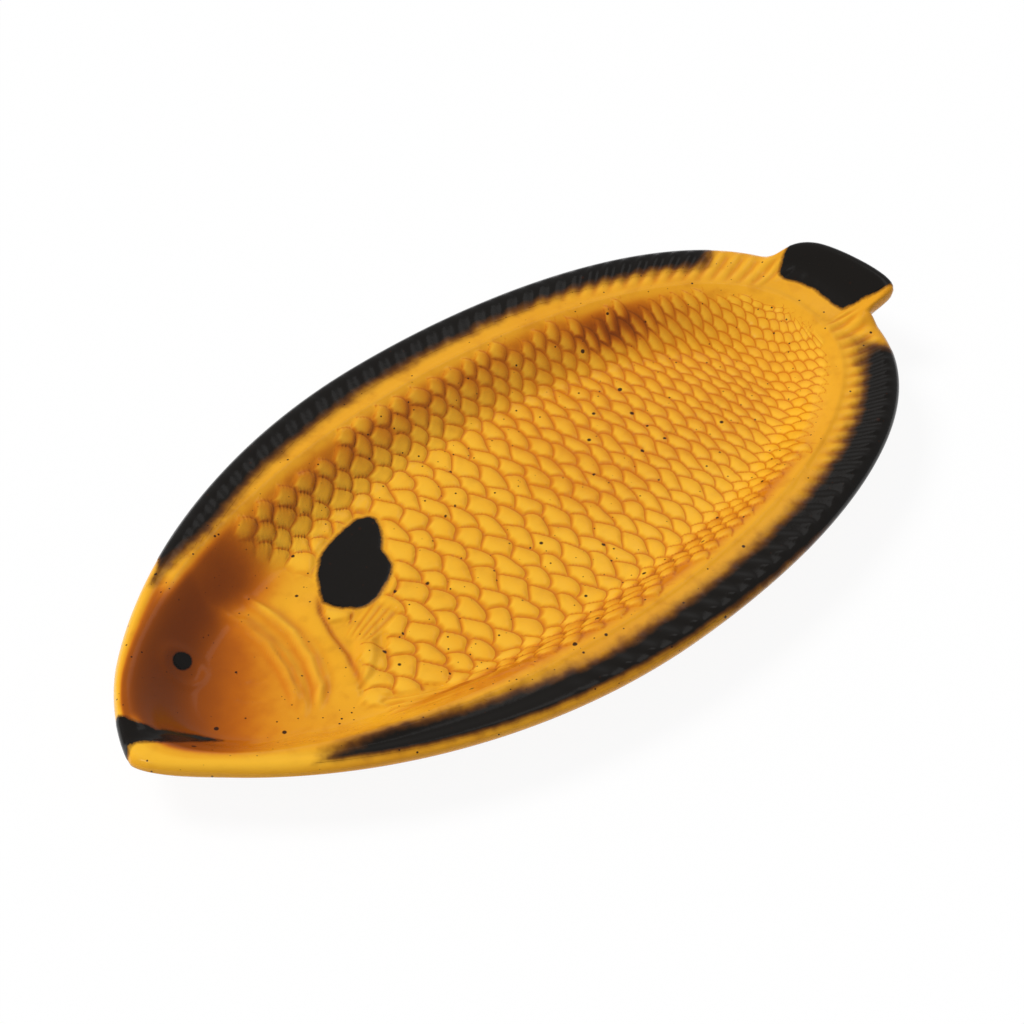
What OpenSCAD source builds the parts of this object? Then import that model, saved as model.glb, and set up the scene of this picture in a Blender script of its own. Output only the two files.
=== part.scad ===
// Fish shaped serving platter: a moulded stoneware dish with a relief of scales,
// gill cover and fluted fins, and the dark glaze that was laid over its rim,
// tail, eye, mouth and side fin. Millimetres, +Z up, standing on its foot ring.
// The nose points along -X and the back fin lies on the +Y side.

/* [Outline] */
// Length of the dish from the nose to the end of its body, without the tail fin
body_length = 348; // [310:1:390]
// Width of the dish at its widest point
body_width = 186; // [160:1:210]
// Length of the head end, from the nose to the widest point
head_length = 180; // [160:1:195]
// Taper of the outline towards the nose, lower is fuller
head_taper = 0.72; // [0.6:0.01:0.8]
// Taper of the outline towards the tail, lower is fuller
tail_taper = 0.4; // [0.36:0.01:0.55]

/* [Section] */
// Height of the foot ring below the underside of the floor
foot_height = 5.5; // [3:0.5:9]
// Thickness of the clay in the floor
clay = 6.5; // [5:0.5:9]
// Depth of the well below the rim
well_depth = 15; // [10:0.5:22]
// Thickness of the clay in the rim
rim_clay = 6; // [4:0.5:8]
// Width of the fluted rim, from its edge to the crease above the wall
rim_width = 21; // [18:0.5:25]
// Width of the smooth lip round the nose
lip_width = 8; // [6:0.5:11]
// Width of the sloping wall, from the crease to the floor, seen from above
wall_run = 21; // [16:0.5:26]
// Width of the sloping wall inside the nose
nose_wall_run = 24; // [12:0.5:28]
// Radius that rounds the edge of the rim
edge_round = 3; // [1.5:0.5:4]
// Width of the foot ring where it stands on the table
foot_width = 5; // [3:0.5:9]
// Distance of the foot ring inside the edge of the floor
foot_inset = 4; // [2:0.5:9]

/* [Tail fin] */
// Width of the tail fin
tail_width = 46; // [36:1:56]
// Distance of the tail fin's middle from the middle line, towards the back fin
tail_offset = 5; // [0:0.5:7]
// Length of the tail fin past the end of the body
tail_reach = 12; // [9:0.5:20]
// Height of the tail fin's tip above the rim
tail_rise = 7; // [3:0.5:12]
// Radius of the hollow where the tail fin leaves the rim
tail_fillet = 9; // [5:0.5:11]

/* [Flutes] */
// Number of flutes round the whole rim
flute_count = 80; // [64:2:90]
// Height of a flute above the grooves beside it
flute_rise = 1.6; // [0.6:0.1:2.4]
// Lean of the flutes towards the tail, in degrees
flute_lean = 22; // [0:1:35]
// Distance from the nose to the first flutes of the back fin
back_fin_from_nose = 45; // [35:1:70]
// Distance from the nose to the first flutes of the belly fin
belly_fin_from_nose = 128; // [110:1:150]

/* [Scales] */
// Number of rows of scales across the body
scale_rows = 11; // [9:2:13]
// Number of staggered columns of scales along the body
scale_columns = 42; // [36:2:46]
// Height of a scale's free edge above the scale behind it
scale_rise = 1.1; // [0.6:0.1:1.6]
// Height of the grooves between the scales above the floor
scale_bed = 0.5; // [0.3:0.1:0.8]
// Distance from the nose to the first scales
scales_from_nose = 84; // [78:1:92]
// Distance from the last scales to the tip of the tail fin
scales_from_tip = 40; // [36:1:50]
// Length of the last scales as a share of the first
scale_shrink = 0.6; // [0.5:0.05:0.9]

/* [Head] */
// Radius of the gill cover's rear edge
gill_radius = 71; // [67:0.5:75]
// Distance from the nose to the centre of the gill cover
gill_from_nose = 23; // [19:0.5:27]
// Distance of the gill cover's centre from the middle line, towards the back fin
gill_offset = 8; // [4:0.5:11]
// Distance between neighbouring gill ridges
gill_pitch = 6; // [4:0.5:7]
// Height of the gill cover above the scales behind it
gill_rise = 0.6; // [0.3:0.1:1.2]
// Radius of the raised ring round the eye
eye_ring = 7; // [6:0.5:8.5]
// Distance from the nose to the eye
eye_from_nose = 45.5; // [41:0.5:48]
// Distance of the eye from the middle line, towards the back fin
eye_offset = 24.5; // [16:0.5:26]
// Length of the mouth, from the nose backwards
mouth_length = 33; // [24:0.5:36]
// Width of the mouth at the nose
mouth_width = 14; // [9:0.5:16]

/* [Fins] */
// Length of the side fin behind the gill cover
side_fin_length = 46; // [40:0.5:50]
// Width of the side fin
side_fin_width = 24; // [18:0.5:27]
// Distance from the nose to the root of the side fin
side_fin_from_nose = 104; // [100:0.5:108]
// Distance of the side fin's root from the middle line, towards the back fin
side_fin_offset = 10; // [6:0.5:14]
// Height of the side fin above the scales round it
side_fin_rise = 0.5; // [0.3:0.1:1.2]
// Distance from the nose to the root of the small fin under the belly
belly_rays_from_nose = 90; // [84:1:96]
// Distance of that root from the middle line, towards the belly fin
belly_rays_offset = 37; // [32:0.5:40]
// Length of the small fin under the belly
belly_rays_length = 43; // [30:0.5:48]
// Number of rays in the small fin under the belly
belly_rays = 5; // [4:1:7]
// Thickness of a fin ray
ray_width = 2.4; // [1.6:0.2:3]

/* [Dark glaze] */
// Thickness of the dark glaze
glaze = 0.5; // [0.3:0.05:0.8]
// Width of the dark bands along the rim
band_width = 13; // [9:0.5:14]
// Distance of the dark bands inside the rim's edge
band_inset = 2.75; // [2.5:0.25:4]
// Distance from the nose to the start of the dark band along the back fin
back_band_from_nose = 50; // [46:1:60]
// Distance from the nose to the start of the dark band along the belly fin
belly_band_from_nose = 38; // [34:1:50]
// Clearance between the ends of the dark bands and the hollows beside the tail fin
band_clearance = 3; // [2:0.5:8]
// Radius of the eye spot
eye_spot = 3.8; // [2.6:0.1:4.4]

/* [Hidden] */
AMBER = [0.85, 0.55, 0.12];
DARK = [0.11, 0.10, 0.09];

// Heights above the table
floor_z = foot_height + clay;
rim_z = floor_z + well_depth;
scale_root = clay * 0.3;
gill_top = scale_bed + scale_rise + gill_rise;
side_fin_z = floor_z + scale_bed + scale_rise + side_fin_rise;

// Places along the length
nose_x = -(body_length + tail_reach) / 2;
tip_x = -nose_x;
widest_x = nose_x + head_length;
body_end_x = nose_x + body_length;
gill_centre = [nose_x + gill_from_nose, gill_offset];
eye_at = [nose_x + eye_from_nose, eye_offset];
side_fin_at = [nose_x + side_fin_from_nose, side_fin_offset];
side_fin_turn = 36;
belly_fin_turn = -34;
belly_fin_root = [nose_x + belly_rays_from_nose, -belly_rays_offset];
belly_fin_tip = belly_fin_root + belly_rays_length * [cos(belly_fin_turn), sin(belly_fin_turn)];
mouth_turn = -29;

// A ring is a closed outline: its reach to the nose and to the tail from the widest
// point, its half width there, and its tapers towards the nose and the tail.
edge_ring = [head_length, body_length - head_length, body_width / 2, head_taper, tail_taper];
crease_ring = concat(
    [edge_ring[0] - lip_width, edge_ring[1] - rim_width, edge_ring[2] - rim_width],
    [0.55, 0.45]);
floor_ring = concat(
    [crease_ring[0] - nose_wall_run, crease_ring[1] - wall_run, crease_ring[2] - wall_run],
    [0.52, 0.45]);

function blend(a, b, t) = a * (1 - t) + b * t;
function inset_ring(ring, by) = [ring[0] - by, ring[1] - by, ring[2] - by, ring[3], ring[4]];
function clamp(t) = min(1, max(0, t));
function ease(t) = let (c = clamp(t)) c * c * (3 - 2 * c);

// The point of a ring at an angle, where 0 is the tail and 180 the nose
function on_ring(ring, a) =
    let (nose = cos(a) < 0)
    [widest_x + ring[nose ? 0 : 1] * cos(a),
     ring[2] * sign(sin(a)) * pow(abs(sin(a)), 2 * ring[nose ? 3 : 4])];

// How far out a point lies against a ring: under 1 is inside it, over 1 outside
function reach(ring, x, y) =
    let (dx = x - widest_x, nose = dx < 0)
    pow(dx / ring[nose ? 0 : 1], 2) + pow(abs(y) / ring[2], 1 / ring[nose ? 3 : 4]);

// Half the width of a ring at a place along the length
function half_width(ring, x) =
    let (dx = x - widest_x, nose = dx < 0)
    ring[2] * pow(max(0, 1 - pow(dx / ring[nose ? 0 : 1], 2)), ring[nose ? 3 : 4]);

// Where a point lies on the wall: 0 on the floor, 1 at the crease and beyond
function wall_level(x, y, lo = 0, hi = 1, steps = 12) =
    steps == 0 ? (lo + hi) / 2 :
    let (mid = (lo + hi) / 2)
    reach(blend(floor_ring, crease_ring, mid), x, y) > 1
        ? wall_level(x, y, mid, hi, steps - 1)
        : wall_level(x, y, lo, mid, steps - 1);

// The wall's height above the floor, rounded into the floor and into the crease
function wall_rise(level) = well_depth * (1 - cos(180 * level)) / 2;
function dish_z(x, y) =
    reach(floor_ring, x, y) <= 1 ? floor_z : floor_z + wall_rise(wall_level(x, y));

// Triangles between two rows of points, and between a full row and a row of half as
// many. Rows run anticlockwise seen from above, the outer one first on the top side.
function band(first, second, n) =
    [for (i = [0:n - 1])
        let (j = (i + 1) % n)
        each [[first + i, second + j, first + j], [first + i, second + i, second + j]]];
function thin_out(full, half, n) =
    [for (i = [0:n - 1])
        let (j = (i + 1) % n, a = full + 2 * i, b = a + 1, c = full + 2 * j)
        each [[a, half + i, b], [b, half + i, half + j], [b, half + j, c]]];
function flipped(faces) = [for (f = faces) [for (k = [len(f) - 1:-1:0]) f[k]]];

// The shell of the dish

// Steps round the outline, corrected so that they come out about equally long
function step_angle(i, count) = let (s = 360 * i / count) s + 8.6 * sin(2 * s);

// The flutes fade out towards the nose and towards the tail fin
function flute_strength(a) =
    let (x = on_ring(edge_ring, a)[0], start = sin(a) > 0 ? back_fin_from_nose : belly_fin_from_nose)
    ease((x - nose_x - start) / 25) * ease((body_end_x - 6 - x) / 14);

// The rim rounds over into a plain lip towards the nose
function nose_roll(a) = ease((-cos(a) - 0.6) / 0.35);

// A point of the rim, so far in from its edge, so far below the top of the rim and
// with a share of the flutes' height
function rim_point(i, count, inset, drop, flute) =
    let (t = inset / rim_width,
         edge_a = step_angle(i, count),
         a = edge_a + 57.3 * inset * tan(flute_lean) / head_length * sin(edge_a),
         p = on_ring(blend(edge_ring, crease_ring, t), a),
         crest = i % 2 == 0 ? 0.5 : -0.5,
         roll = nose_roll(a))
    [p[0], p[1],
     rim_z - drop * (1 - roll * ease(t * 6)) - roll * edge_round * pow(max(0, 1 - 2 * t), 2)
        + flute * flute_rise * crest * flute_strength(a)];

function flute_row(inset, drop, flute) =
    [for (i = [0:2 * flute_count - 1]) rim_point(i, 2 * flute_count, inset, drop, flute)];
function plain_row(inset, drop) =
    [for (i = [0:flute_count - 1]) rim_point(i, flute_count, inset, drop, 0)];
function ring_row(ring, z) =
    [for (i = [0:flute_count - 1])
        let (p = on_ring(ring, step_angle(i, flute_count)))
        [p[0], p[1], z]];

// The fluted rows, then the plain rows in from them over the crease and down the wall
// to the floor, then those out from them over the edge and back under to the foot ring
flute_rows = [
    flute_row(edge_round * 0.6, edge_round * 0.1, 0),
    flute_row(edge_round + 2, 0.4, 1),
    flute_row(rim_width * 0.6, 0.7, 1),
    flute_row(rim_width - 4, 0.8, 0.5)];
inner_rows = concat(
    [plain_row(rim_width - 1, 0)],
    [for (level = [0.88, 0.68, 0.48, 0.28, 0.1, 0])
        ring_row(blend(floor_ring, crease_ring, level), floor_z + wall_rise(level))]);
outer_rows = concat(
    [plain_row(0, edge_round),
     plain_row(edge_round, rim_clay),
     ring_row(blend(edge_ring, crease_ring, 0.6), rim_z - rim_clay - 0.8)],
    [for (level = [0.95, 0.6, 0.2])
        ring_row(blend(floor_ring, crease_ring, level), floor_z + wall_rise(level) - clay - level)],
    [ring_row(inset_ring(floor_ring, foot_inset - 1), foot_height),
     ring_row(inset_ring(floor_ring, foot_inset), 0),
     ring_row(inset_ring(floor_ring, foot_inset + foot_width), 0),
     ring_row(inset_ring(floor_ring, foot_inset + foot_width + 1), foot_height)]);

module dish() {
    n = flute_count;
    points = [for (row = concat(flute_rows, inner_rows, outer_rows)) each row];
    inner_first = len(flute_rows) * 2 * n;
    outer_first = inner_first + len(inner_rows) * n;
    last_flutes = inner_first - 2 * n;
    last_inner = outer_first - n;
    last_outer = outer_first + (len(outer_rows) - 1) * n;
    faces = concat(
        [for (r = [0:len(flute_rows) - 2]) each band(r * 2 * n, (r + 1) * 2 * n, 2 * n)],
        thin_out(last_flutes, inner_first, n),
        [for (r = [0:len(inner_rows) - 2]) each band(inner_first + r * n, inner_first + (r + 1) * n, n)],
        flipped(thin_out(0, outer_first, n)),
        [for (r = [0:len(outer_rows) - 2])
            each flipped(band(outer_first + r * n, outer_first + (r + 1) * n, n))],
        [[for (i = [0:n - 1]) last_inner + n - 1 - i]],
        [[for (i = [0:n - 1]) last_outer + i]]);
    polyhedron(points, faces, convexity = 8);
}

// The tail fin: rounded sections from inside the rim out to the tip

tail_root_x = body_end_x - rim_width + 4;
function tail_half(x) =
    let (back = clamp((body_end_x - 2 - x) / tail_fillet), tip = clamp((x - tip_x + 5) / 5))
    tail_width / 2 + tail_fillet * (1 - sqrt(1 - back * back)) - 3.5 * (1 - sqrt(1 - tip * tip));
function tail_top(x) =
    rim_z - 0.8 + (tail_rise + 0.8) * pow(clamp((x - tail_root_x) / (tip_x - tail_root_x)), 1.4);
function tail_section(x) =
    let (tip = clamp((x - tip_x + 5) / 5), thick = rim_clay - 2 * tip * tip)
    [for (k = [0:15])
        let (a = 360 * k / 16)
        [x,
         tail_offset + tail_half(x) * sign(cos(a)) * pow(abs(cos(a)), 0.35),
         tail_top(x) - thick / 2 - tip * tip + thick / 2 * sign(sin(a)) * pow(abs(sin(a)), 0.6)]];

module tail_fin() {
    stations = [tail_root_x, body_end_x - 11, body_end_x - 8, body_end_x - 5, body_end_x - 2,
        tip_x - 5, tip_x - 3, tip_x - 1, tip_x];
    points = [for (x = stations) each tail_section(x)];
    last = (len(stations) - 1) * 16;
    faces = concat(
        [for (s = [0:len(stations) - 2]) each band(s * 16, (s + 1) * 16, 16)],
        [[for (k = [0:15]) k]],
        [[for (k = [0:15]) last + 15 - k]]);
    polyhedron(points, faces, convexity = 4);
}

// Scales. They stand on a staggered lattice of columns and rows that narrows with the
// body. Each covers the lattice from its front tip, tucked in under the two scales
// before it, to its rounded rear edge, which stands proud of the two behind.

half_rows = (scale_rows - 1) / 2;
lattice_width = scale_rows + 2;
first_pitch = 2 * (tip_x - scales_from_tip - nose_x - scales_from_nose)
    / scale_columns / (1 + scale_shrink);
field_ring = blend(floor_ring, crease_ring, 0.9);
function column_x(c) =
    nose_x + scales_from_nose + first_pitch * (c - (1 - scale_shrink) * c * c / (2 * scale_columns));
function lattice(c, r) =
    let (x = column_x(c))
    [x, half_width(field_ring, x) * r / (half_rows + 1)];

// The points at one place of the lattice, each with its step along the columns, its
// step across the rows and its share of the scale's rise
rear_tip = 0;
side_tip = 1;
front_tip = 2;
rear_low = 3;
rear_high = 4;
front_low = 5;
front_high = 6;
crown = 7;
scale_steps = [[0, 0, 1], [0.07, 0, 0.4], [0.14, 0, 0], [-0.25, -0.5, 0.85], [-0.25, 0.5, 0.85],
    [-1.14, -0.5, 0.12], [-1.14, 0.5, 0.12], [-0.8, 0, 0.8]];
function scale_points(c, r) =
    [for (step = scale_steps)
        let (p = lattice(c + step[0], r + step[1]),
             rise = scale_rise * half_width(field_ring, p[0]) / field_ring[2])
        [p[0], p[1], dish_z(p[0], p[1]) + scale_bed + rise * step[2]]];
function at(c, r, point) = 4 * ((c + 2) * lattice_width + r + half_rows + 1) + point;

// Scales fill the lattice behind the gill cover and leave room for the belly's small fin
function is_scale(c, r) =
    c >= 0 && c < scale_columns && abs(r) <= half_rows
    && norm(lattice(c - 1, r) - gill_centre) > gill_radius - 3
    && (r > 1 - half_rows || column_x(c) > belly_fin_tip[0] + 8);

// The edge of a scale, half a side at a time, with the scale that lies beyond it and
// that scale's own points along the same edge. Only the rear edges stand proud.
function scale_edge(c, r) = [
    [[c - 1, r - 1], [at(c - 2, r, front_tip), at(c, r, front_low), at(c - 1, r - 1, side_tip)], []],
    [[c + 1, r - 1], [at(c - 1, r - 1, side_tip), at(c, r, rear_low), at(c, r, rear_tip)],
        [at(c - 1, r - 1, front_tip), at(c + 1, r - 1, front_high), at(c, r, side_tip)]],
    [[c + 1, r + 1], [at(c, r, rear_tip), at(c, r, rear_high), at(c - 1, r + 1, side_tip)],
        [at(c, r, side_tip), at(c + 1, r + 1, front_low), at(c - 1, r + 1, front_tip)]],
    [[c - 1, r + 1], [at(c - 1, r + 1, side_tip), at(c, r, front_high), at(c - 2, r, front_tip)], []]];
function strip(upper, lower) =
    [for (k = [0:len(upper) - 2])
        each [[upper[k], upper[k + 1], lower[k + 1]], [upper[k], lower[k + 1], lower[k]]]];

module scales() {
    places = [for (n = [0:2:(scale_columns + 2) * lattice_width - 1])
        [floor(n / lattice_width) - 2, n % lattice_width - half_rows - 1]];
    top = [for (q = places) each scale_points(q[0], q[1])];
    base = [for (p = top) [p[0], p[1], dish_z(p[0], p[1]) - scale_root]];
    down = [for (k = [0:2]) len(top)];
    there = [for (q = places) if (is_scale(q[0], q[1])) q];
    skin = [for (q = there, side = scale_edge(q[0], q[1]))
        each concat(
            [for (k = [0:1]) [at(q[0], q[1], crown), side[1][k + 1], side[1][k]]],
            len(side[2]) > 0 && is_scale(side[0][0], side[0][1]) ? strip(side[1], side[2]) : [])];
    rims = [for (q = there, side = scale_edge(q[0], q[1]))
        if (!is_scale(side[0][0], side[0][1])) each strip(side[1], side[1] + down)];
    ends = [for (q = there, turn = [-1, 1])
        let (c = q[0],
             r = q[1],
             behind = is_scale(c + 1, r + turn),
             tip = [at(c, r, rear_tip), at(c, r, side_tip)],
             far = [at(c - 1, r + turn, side_tip), at(c - 1, r + turn, front_tip)],
             near_edge = turn < 0 ? [tip[1], tip[0]] : tip,
             far_edge = turn < 0 ? far : [far[1], far[0]],
             drop = [len(top), len(top)])
        each concat(
            behind && !is_scale(c + 1, r - turn) ? strip(near_edge, near_edge + drop) : [],
            behind && !is_scale(c, r + 2 * turn) ? strip(far_edge, far_edge + drop) : [])];
    under = [for (f = flipped(skin)) f + down];
    polyhedron(concat(top, base), concat(skin, rims, ends, under), convexity = 6);
}

// The head: gill cover, gill ridges and eye

module gill_arc(radius) {
    translate([gill_centre[0], gill_centre[1], floor_z])
        rotate([0, 0, -42])
            rotate_extrude(angle = 84, $fn = 40)
                translate([radius, 0])
                    children();
}

// The ridges end on the lower part of the wall
module gills() {
    intersection() {
        linear_extrude(rim_z)
            polygon([for (p = ring_row(blend(floor_ring, crease_ring, 0.4), 0)) [p[0], p[1]]]);
        union() {
            gill_arc(gill_radius)
                polygon([[-11, -1], [-9, 0], [-1.2, gill_top], [-0.3, gill_top * 0.85], [0.4, -1]]);
            for (k = [0:2])
                gill_arc(gill_radius - 9 - k * gill_pitch)
                    polygon([[-2.2, -1], [-0.6, gill_top * 0.55], [0.6, gill_top * 0.55], [2.2, -1]]);
        }
    }
}

// The place on the dish where the eye sits, turned to the slope there
module at_eye() {
    x = eye_at[0];
    y = eye_at[1];
    translate([x, y, dish_z(x, y)])
        rotate([atan((dish_z(x, y + eye_ring) - dish_z(x, y - eye_ring)) / eye_ring / 2),
                -atan((dish_z(x + eye_ring, y) - dish_z(x - eye_ring, y)) / eye_ring / 2), 0])
            children();
}

eye_top = 1.4;
module eye() {
    at_eye() {
        rotate_extrude($fn = 18)
            polygon([[eye_ring - 1.6, -4], [eye_ring - 1, 1.2], [eye_ring, 1.6], [eye_ring + 0.8, 1.2],
                [eye_ring + 2, -4]]);
        translate([0, 0, -4])
            cylinder(r1 = eye_spot + 1.4, r2 = eye_spot + 0.5, h = 4 + eye_top, $fn = 18);
    }
}

// Fins

module side_fin_outline() {
    r = side_fin_width / 2;
    translate(side_fin_at)
        rotate(side_fin_turn)
            hull() {
                translate([r * 0.95, 0]) circle(r * 0.95, $fn = 32);
                translate([side_fin_length * 0.62, r * 0.05]) circle(r * 0.9, $fn = 32);
                translate([side_fin_length - r * 0.3, r * 0.05]) circle(r * 0.3, $fn = 32);
            }
}

module side_fin() {
    translate([0, 0, floor_z - 1])
        linear_extrude(side_fin_z - floor_z + 1)
            side_fin_outline();
}

// A ray is a ridge along the dish from one place to another
module ray_stop() {
    cylinder(d1 = ray_width + 1, d2 = ray_width * 0.3, h = 1 + ray_width * 0.45, $fn = 4);
}

module ray(from, to) {
    stops = [from, (from + to) / 2, to];
    for (k = [0:1])
        hull()
            for (p = [stops[k], stops[k + 1]])
                translate([p[0], p[1], dish_z(p[0], p[1]) - 1])
                    ray_stop();
}

module belly_fin() {
    for (k = [0:belly_rays - 1]) {
        side = k / (belly_rays - 1) - 0.5;
        ray(belly_fin_root + side * [6, 8], belly_fin_tip + side * [20, 9]);
    }
}

// The notch that parts the lips at the nose
module mouth_notch() {
    translate([nose_x, mouth_width * 0.3, rim_z])
        rotate([0, 0, mouth_turn])
            hull() {
                translate([-3, 0, 0]) sphere(d = mouth_width * 0.25, $fn = 12);
                translate([lip_width + 3, 0, 0]) sphere(d = mouth_width * 0.2, $fn = 12);
            }
}

module stoneware_body() {
    color(AMBER)
        difference() {
            union() {
                dish();
                tail_fin();
                scales();
                gills();
                eye();
                side_fin();
                belly_fin();
            }
            mouth_notch();
        }
}

// Dark glaze: a skin of even thickness on the body, inside an outline seen from above

module glaze_skin() {
    difference() {
        intersection() {
            translate([0, 0, floor_z])
                linear_extrude(rim_z + tail_rise)
                    children();
            translate([0, 0, glaze]) stoneware_body();
        }
        stoneware_body();
    }
}

// The bands along the rim start at a distance from the nose and end beside the tail fin
function band_start(from_nose) = acos((from_nose - head_length) / head_length);
function band_end(shift) =
    let (y = tail_width / 2 + tail_fillet + band_clearance + shift)
    asin(pow(y / edge_ring[2], 0.5 / tail_taper));

// The bands narrow to nothing at their ends
module band_outline(from, to) {
    steps = 24;
    angles = [for (k = [0:steps]) blend(from, to, k / steps)];
    widths = [for (k = [0:steps]) 0.6 + band_width * min(ease(k / 6), ease((steps - k) / 3))];
    polygon(concat(
        [for (k = [0:steps])
            on_ring(blend(edge_ring, crease_ring, band_inset / rim_width), angles[k])],
        [for (k = [steps:-1:0])
            on_ring(blend(edge_ring, crease_ring, (band_inset + widths[k]) / rim_width), angles[k])]));
}

module back_rim_glaze() {
    color(DARK)
        glaze_skin() band_outline(band_start(back_band_from_nose), band_end(tail_offset));
}

module belly_rim_glaze() {
    color(DARK)
        glaze_skin() band_outline(-band_start(belly_band_from_nose), -band_end(-tail_offset));
}

module tail_glaze() {
    half = tail_width / 2 - 2;
    color(DARK)
        glaze_skin()
            translate([0, tail_offset])
                polygon([[body_end_x - 8, half - 2], [body_end_x - 5, half * 0.5], [body_end_x - 5.5, 0],
                    [body_end_x - 4, -half * 0.5], [body_end_x - 6, 2 - half], [tip_x - 6, -half],
                    [tip_x - 2.5, 3 - half], [tip_x - 2, 0], [tip_x - 2.5, half - 3], [tip_x - 6, half]]);
}

module side_fin_glaze() {
    color(DARK)
        translate([0, 0, side_fin_z])
            linear_extrude(glaze)
                side_fin_outline();
}

module eye_glaze() {
    color(DARK)
        at_eye()
            translate([0, 0, eye_top])
                cylinder(r = eye_spot, h = glaze, $fn = 32);
}

module mouth_glaze() {
    color(DARK)
        glaze_skin()
            translate([nose_x, mouth_width * 0.3])
                rotate(mouth_turn)
                    polygon([[2, mouth_width / 2], [2, -mouth_width * 0.4], [8, -mouth_width * 0.35],
                        [mouth_length, -1], [mouth_length, 1], [12, mouth_width * 0.38]]);
}

stoneware_body();
back_rim_glaze();
belly_rim_glaze();
tail_glaze();
side_fin_glaze();
eye_glaze();
mouth_glaze();
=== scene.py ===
import math

import bmesh
import bpy
import numpy as np
from bpy.props import FloatProperty, FloatVectorProperty, PointerProperty
from bpy.types import Operator, Panel, PropertyGroup
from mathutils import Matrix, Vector


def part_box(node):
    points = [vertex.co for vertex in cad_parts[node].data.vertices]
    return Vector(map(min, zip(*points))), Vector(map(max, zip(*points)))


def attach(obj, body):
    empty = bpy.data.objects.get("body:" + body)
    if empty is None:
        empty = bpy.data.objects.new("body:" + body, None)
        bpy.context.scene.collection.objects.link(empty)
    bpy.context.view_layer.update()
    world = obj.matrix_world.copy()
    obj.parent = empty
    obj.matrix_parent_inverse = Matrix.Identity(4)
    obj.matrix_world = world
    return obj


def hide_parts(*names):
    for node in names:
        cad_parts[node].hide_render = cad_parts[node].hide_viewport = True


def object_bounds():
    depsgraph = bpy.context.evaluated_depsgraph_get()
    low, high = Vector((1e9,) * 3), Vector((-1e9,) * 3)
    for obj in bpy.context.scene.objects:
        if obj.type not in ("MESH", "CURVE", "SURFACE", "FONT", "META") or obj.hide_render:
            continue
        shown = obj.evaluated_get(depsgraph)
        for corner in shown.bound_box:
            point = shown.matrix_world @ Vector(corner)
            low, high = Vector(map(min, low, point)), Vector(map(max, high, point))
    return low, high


bl_info = {
    "name": "Fish Platter",
    "version": (1, 0, 0),
    "blender": (4, 5, 0),
    "location": "3D View > Sidebar > Platter",
    "description": "Models a fish shaped stoneware platter with its moulded relief and its glazes",
    "category": "Add Mesh",
}

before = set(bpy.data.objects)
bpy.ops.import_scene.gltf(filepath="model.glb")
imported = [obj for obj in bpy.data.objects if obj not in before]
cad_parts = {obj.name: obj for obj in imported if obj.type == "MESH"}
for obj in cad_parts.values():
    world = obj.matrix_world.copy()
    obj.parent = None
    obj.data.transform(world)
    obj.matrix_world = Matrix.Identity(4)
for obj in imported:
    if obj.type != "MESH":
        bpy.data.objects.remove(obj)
CAD_LOW, CAD_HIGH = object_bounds()
MM = 0.001
BODY = "stoneware"


def length(name, description, default):
    """A size in metres."""
    return FloatProperty(
        name=name, description=description, default=default, min=0.0, unit="LENGTH", precision=5
    )


def share(name, description, default):
    """A plain number."""
    return FloatProperty(name=name, description=description, default=default, min=0.0, precision=3)


def angle(name, description, default):
    """An angle, given in degrees."""
    return FloatProperty(
        name=name, description=description, default=math.radians(default), subtype="ANGLE"
    )


def linear(red, green, blue):
    """A colour of the screen, from 0 to 255, as linear light."""
    shares = (value / 255.0 for value in (red, green, blue))
    return tuple(s / 12.92 if s <= 0.04045 else ((s + 0.055) / 1.055) ** 2.4 for s in shares)


def colour(name, description, *screen):
    """A colour, given as it looks on a screen."""
    return FloatVectorProperty(
        name=name, description=description, default=linear(*screen), subtype="COLOR", min=0.0, max=1.0
    )


class PlatterDish(PropertyGroup):
    """Sizes of the dish."""

    head_length: length("Head length", "From the nose to the widest point", 0.180)
    head_taper: share("Head taper", "Taper of the outline towards the nose", 0.72)
    tail_taper: share("Tail taper", "Taper of the outline towards the tail", 0.40)
    nose_turn: length("Nose turn", "How far the tip of the nose turns towards the belly side", 0.0055)
    floor_height: length("Floor height", "Top of the floor above the table", 0.012)
    well_depth: length("Well depth", "From the rim down to the floor", 0.015)
    rim_width: length("Rim width", "From the edge of the rim to the crease above the wall", 0.021)
    tail_rim: length("Rim width at the tail", "From the end of the body to the crease", 0.018)
    lip_width: length("Lip width", "Width of the smooth lip round the nose", 0.008)
    wall_run: length("Wall run", "Width of the sloping wall, seen from above", 0.021)
    nose_wall_run: length("Nose wall run", "Width of the sloping wall inside the nose", 0.024)
    foot_run: length("Foot run", "How far the foot of the wall runs out softly into the floor", 0.006)
    clay: length("Clay", "Thickness of the clay in the floor", 0.0065)
    rim_clay: length("Rim clay", "Thickness of the clay in the rim", 0.006)
    edge_round: length("Edge rounding", "Radius that rounds the edge of the rim", 0.003)
    foot_height: length("Foot height", "Height of the foot ring", 0.0055)
    foot_width: length("Foot width", "Width of the foot ring on the table", 0.005)
    foot_inset: length("Foot inset", "Distance of the foot ring inside the floor's edge", 0.004)
    tail_reach: length("Tail reach", "Length of the tail fin past the end of the body", 0.012)
    tail_rise: length("Tail rise", "Height of the tail fin's tip above the rim", 0.007)
    tail_offset: length("Tail offset", "Shift of the tail fin towards the back fin", 0.005)


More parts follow.
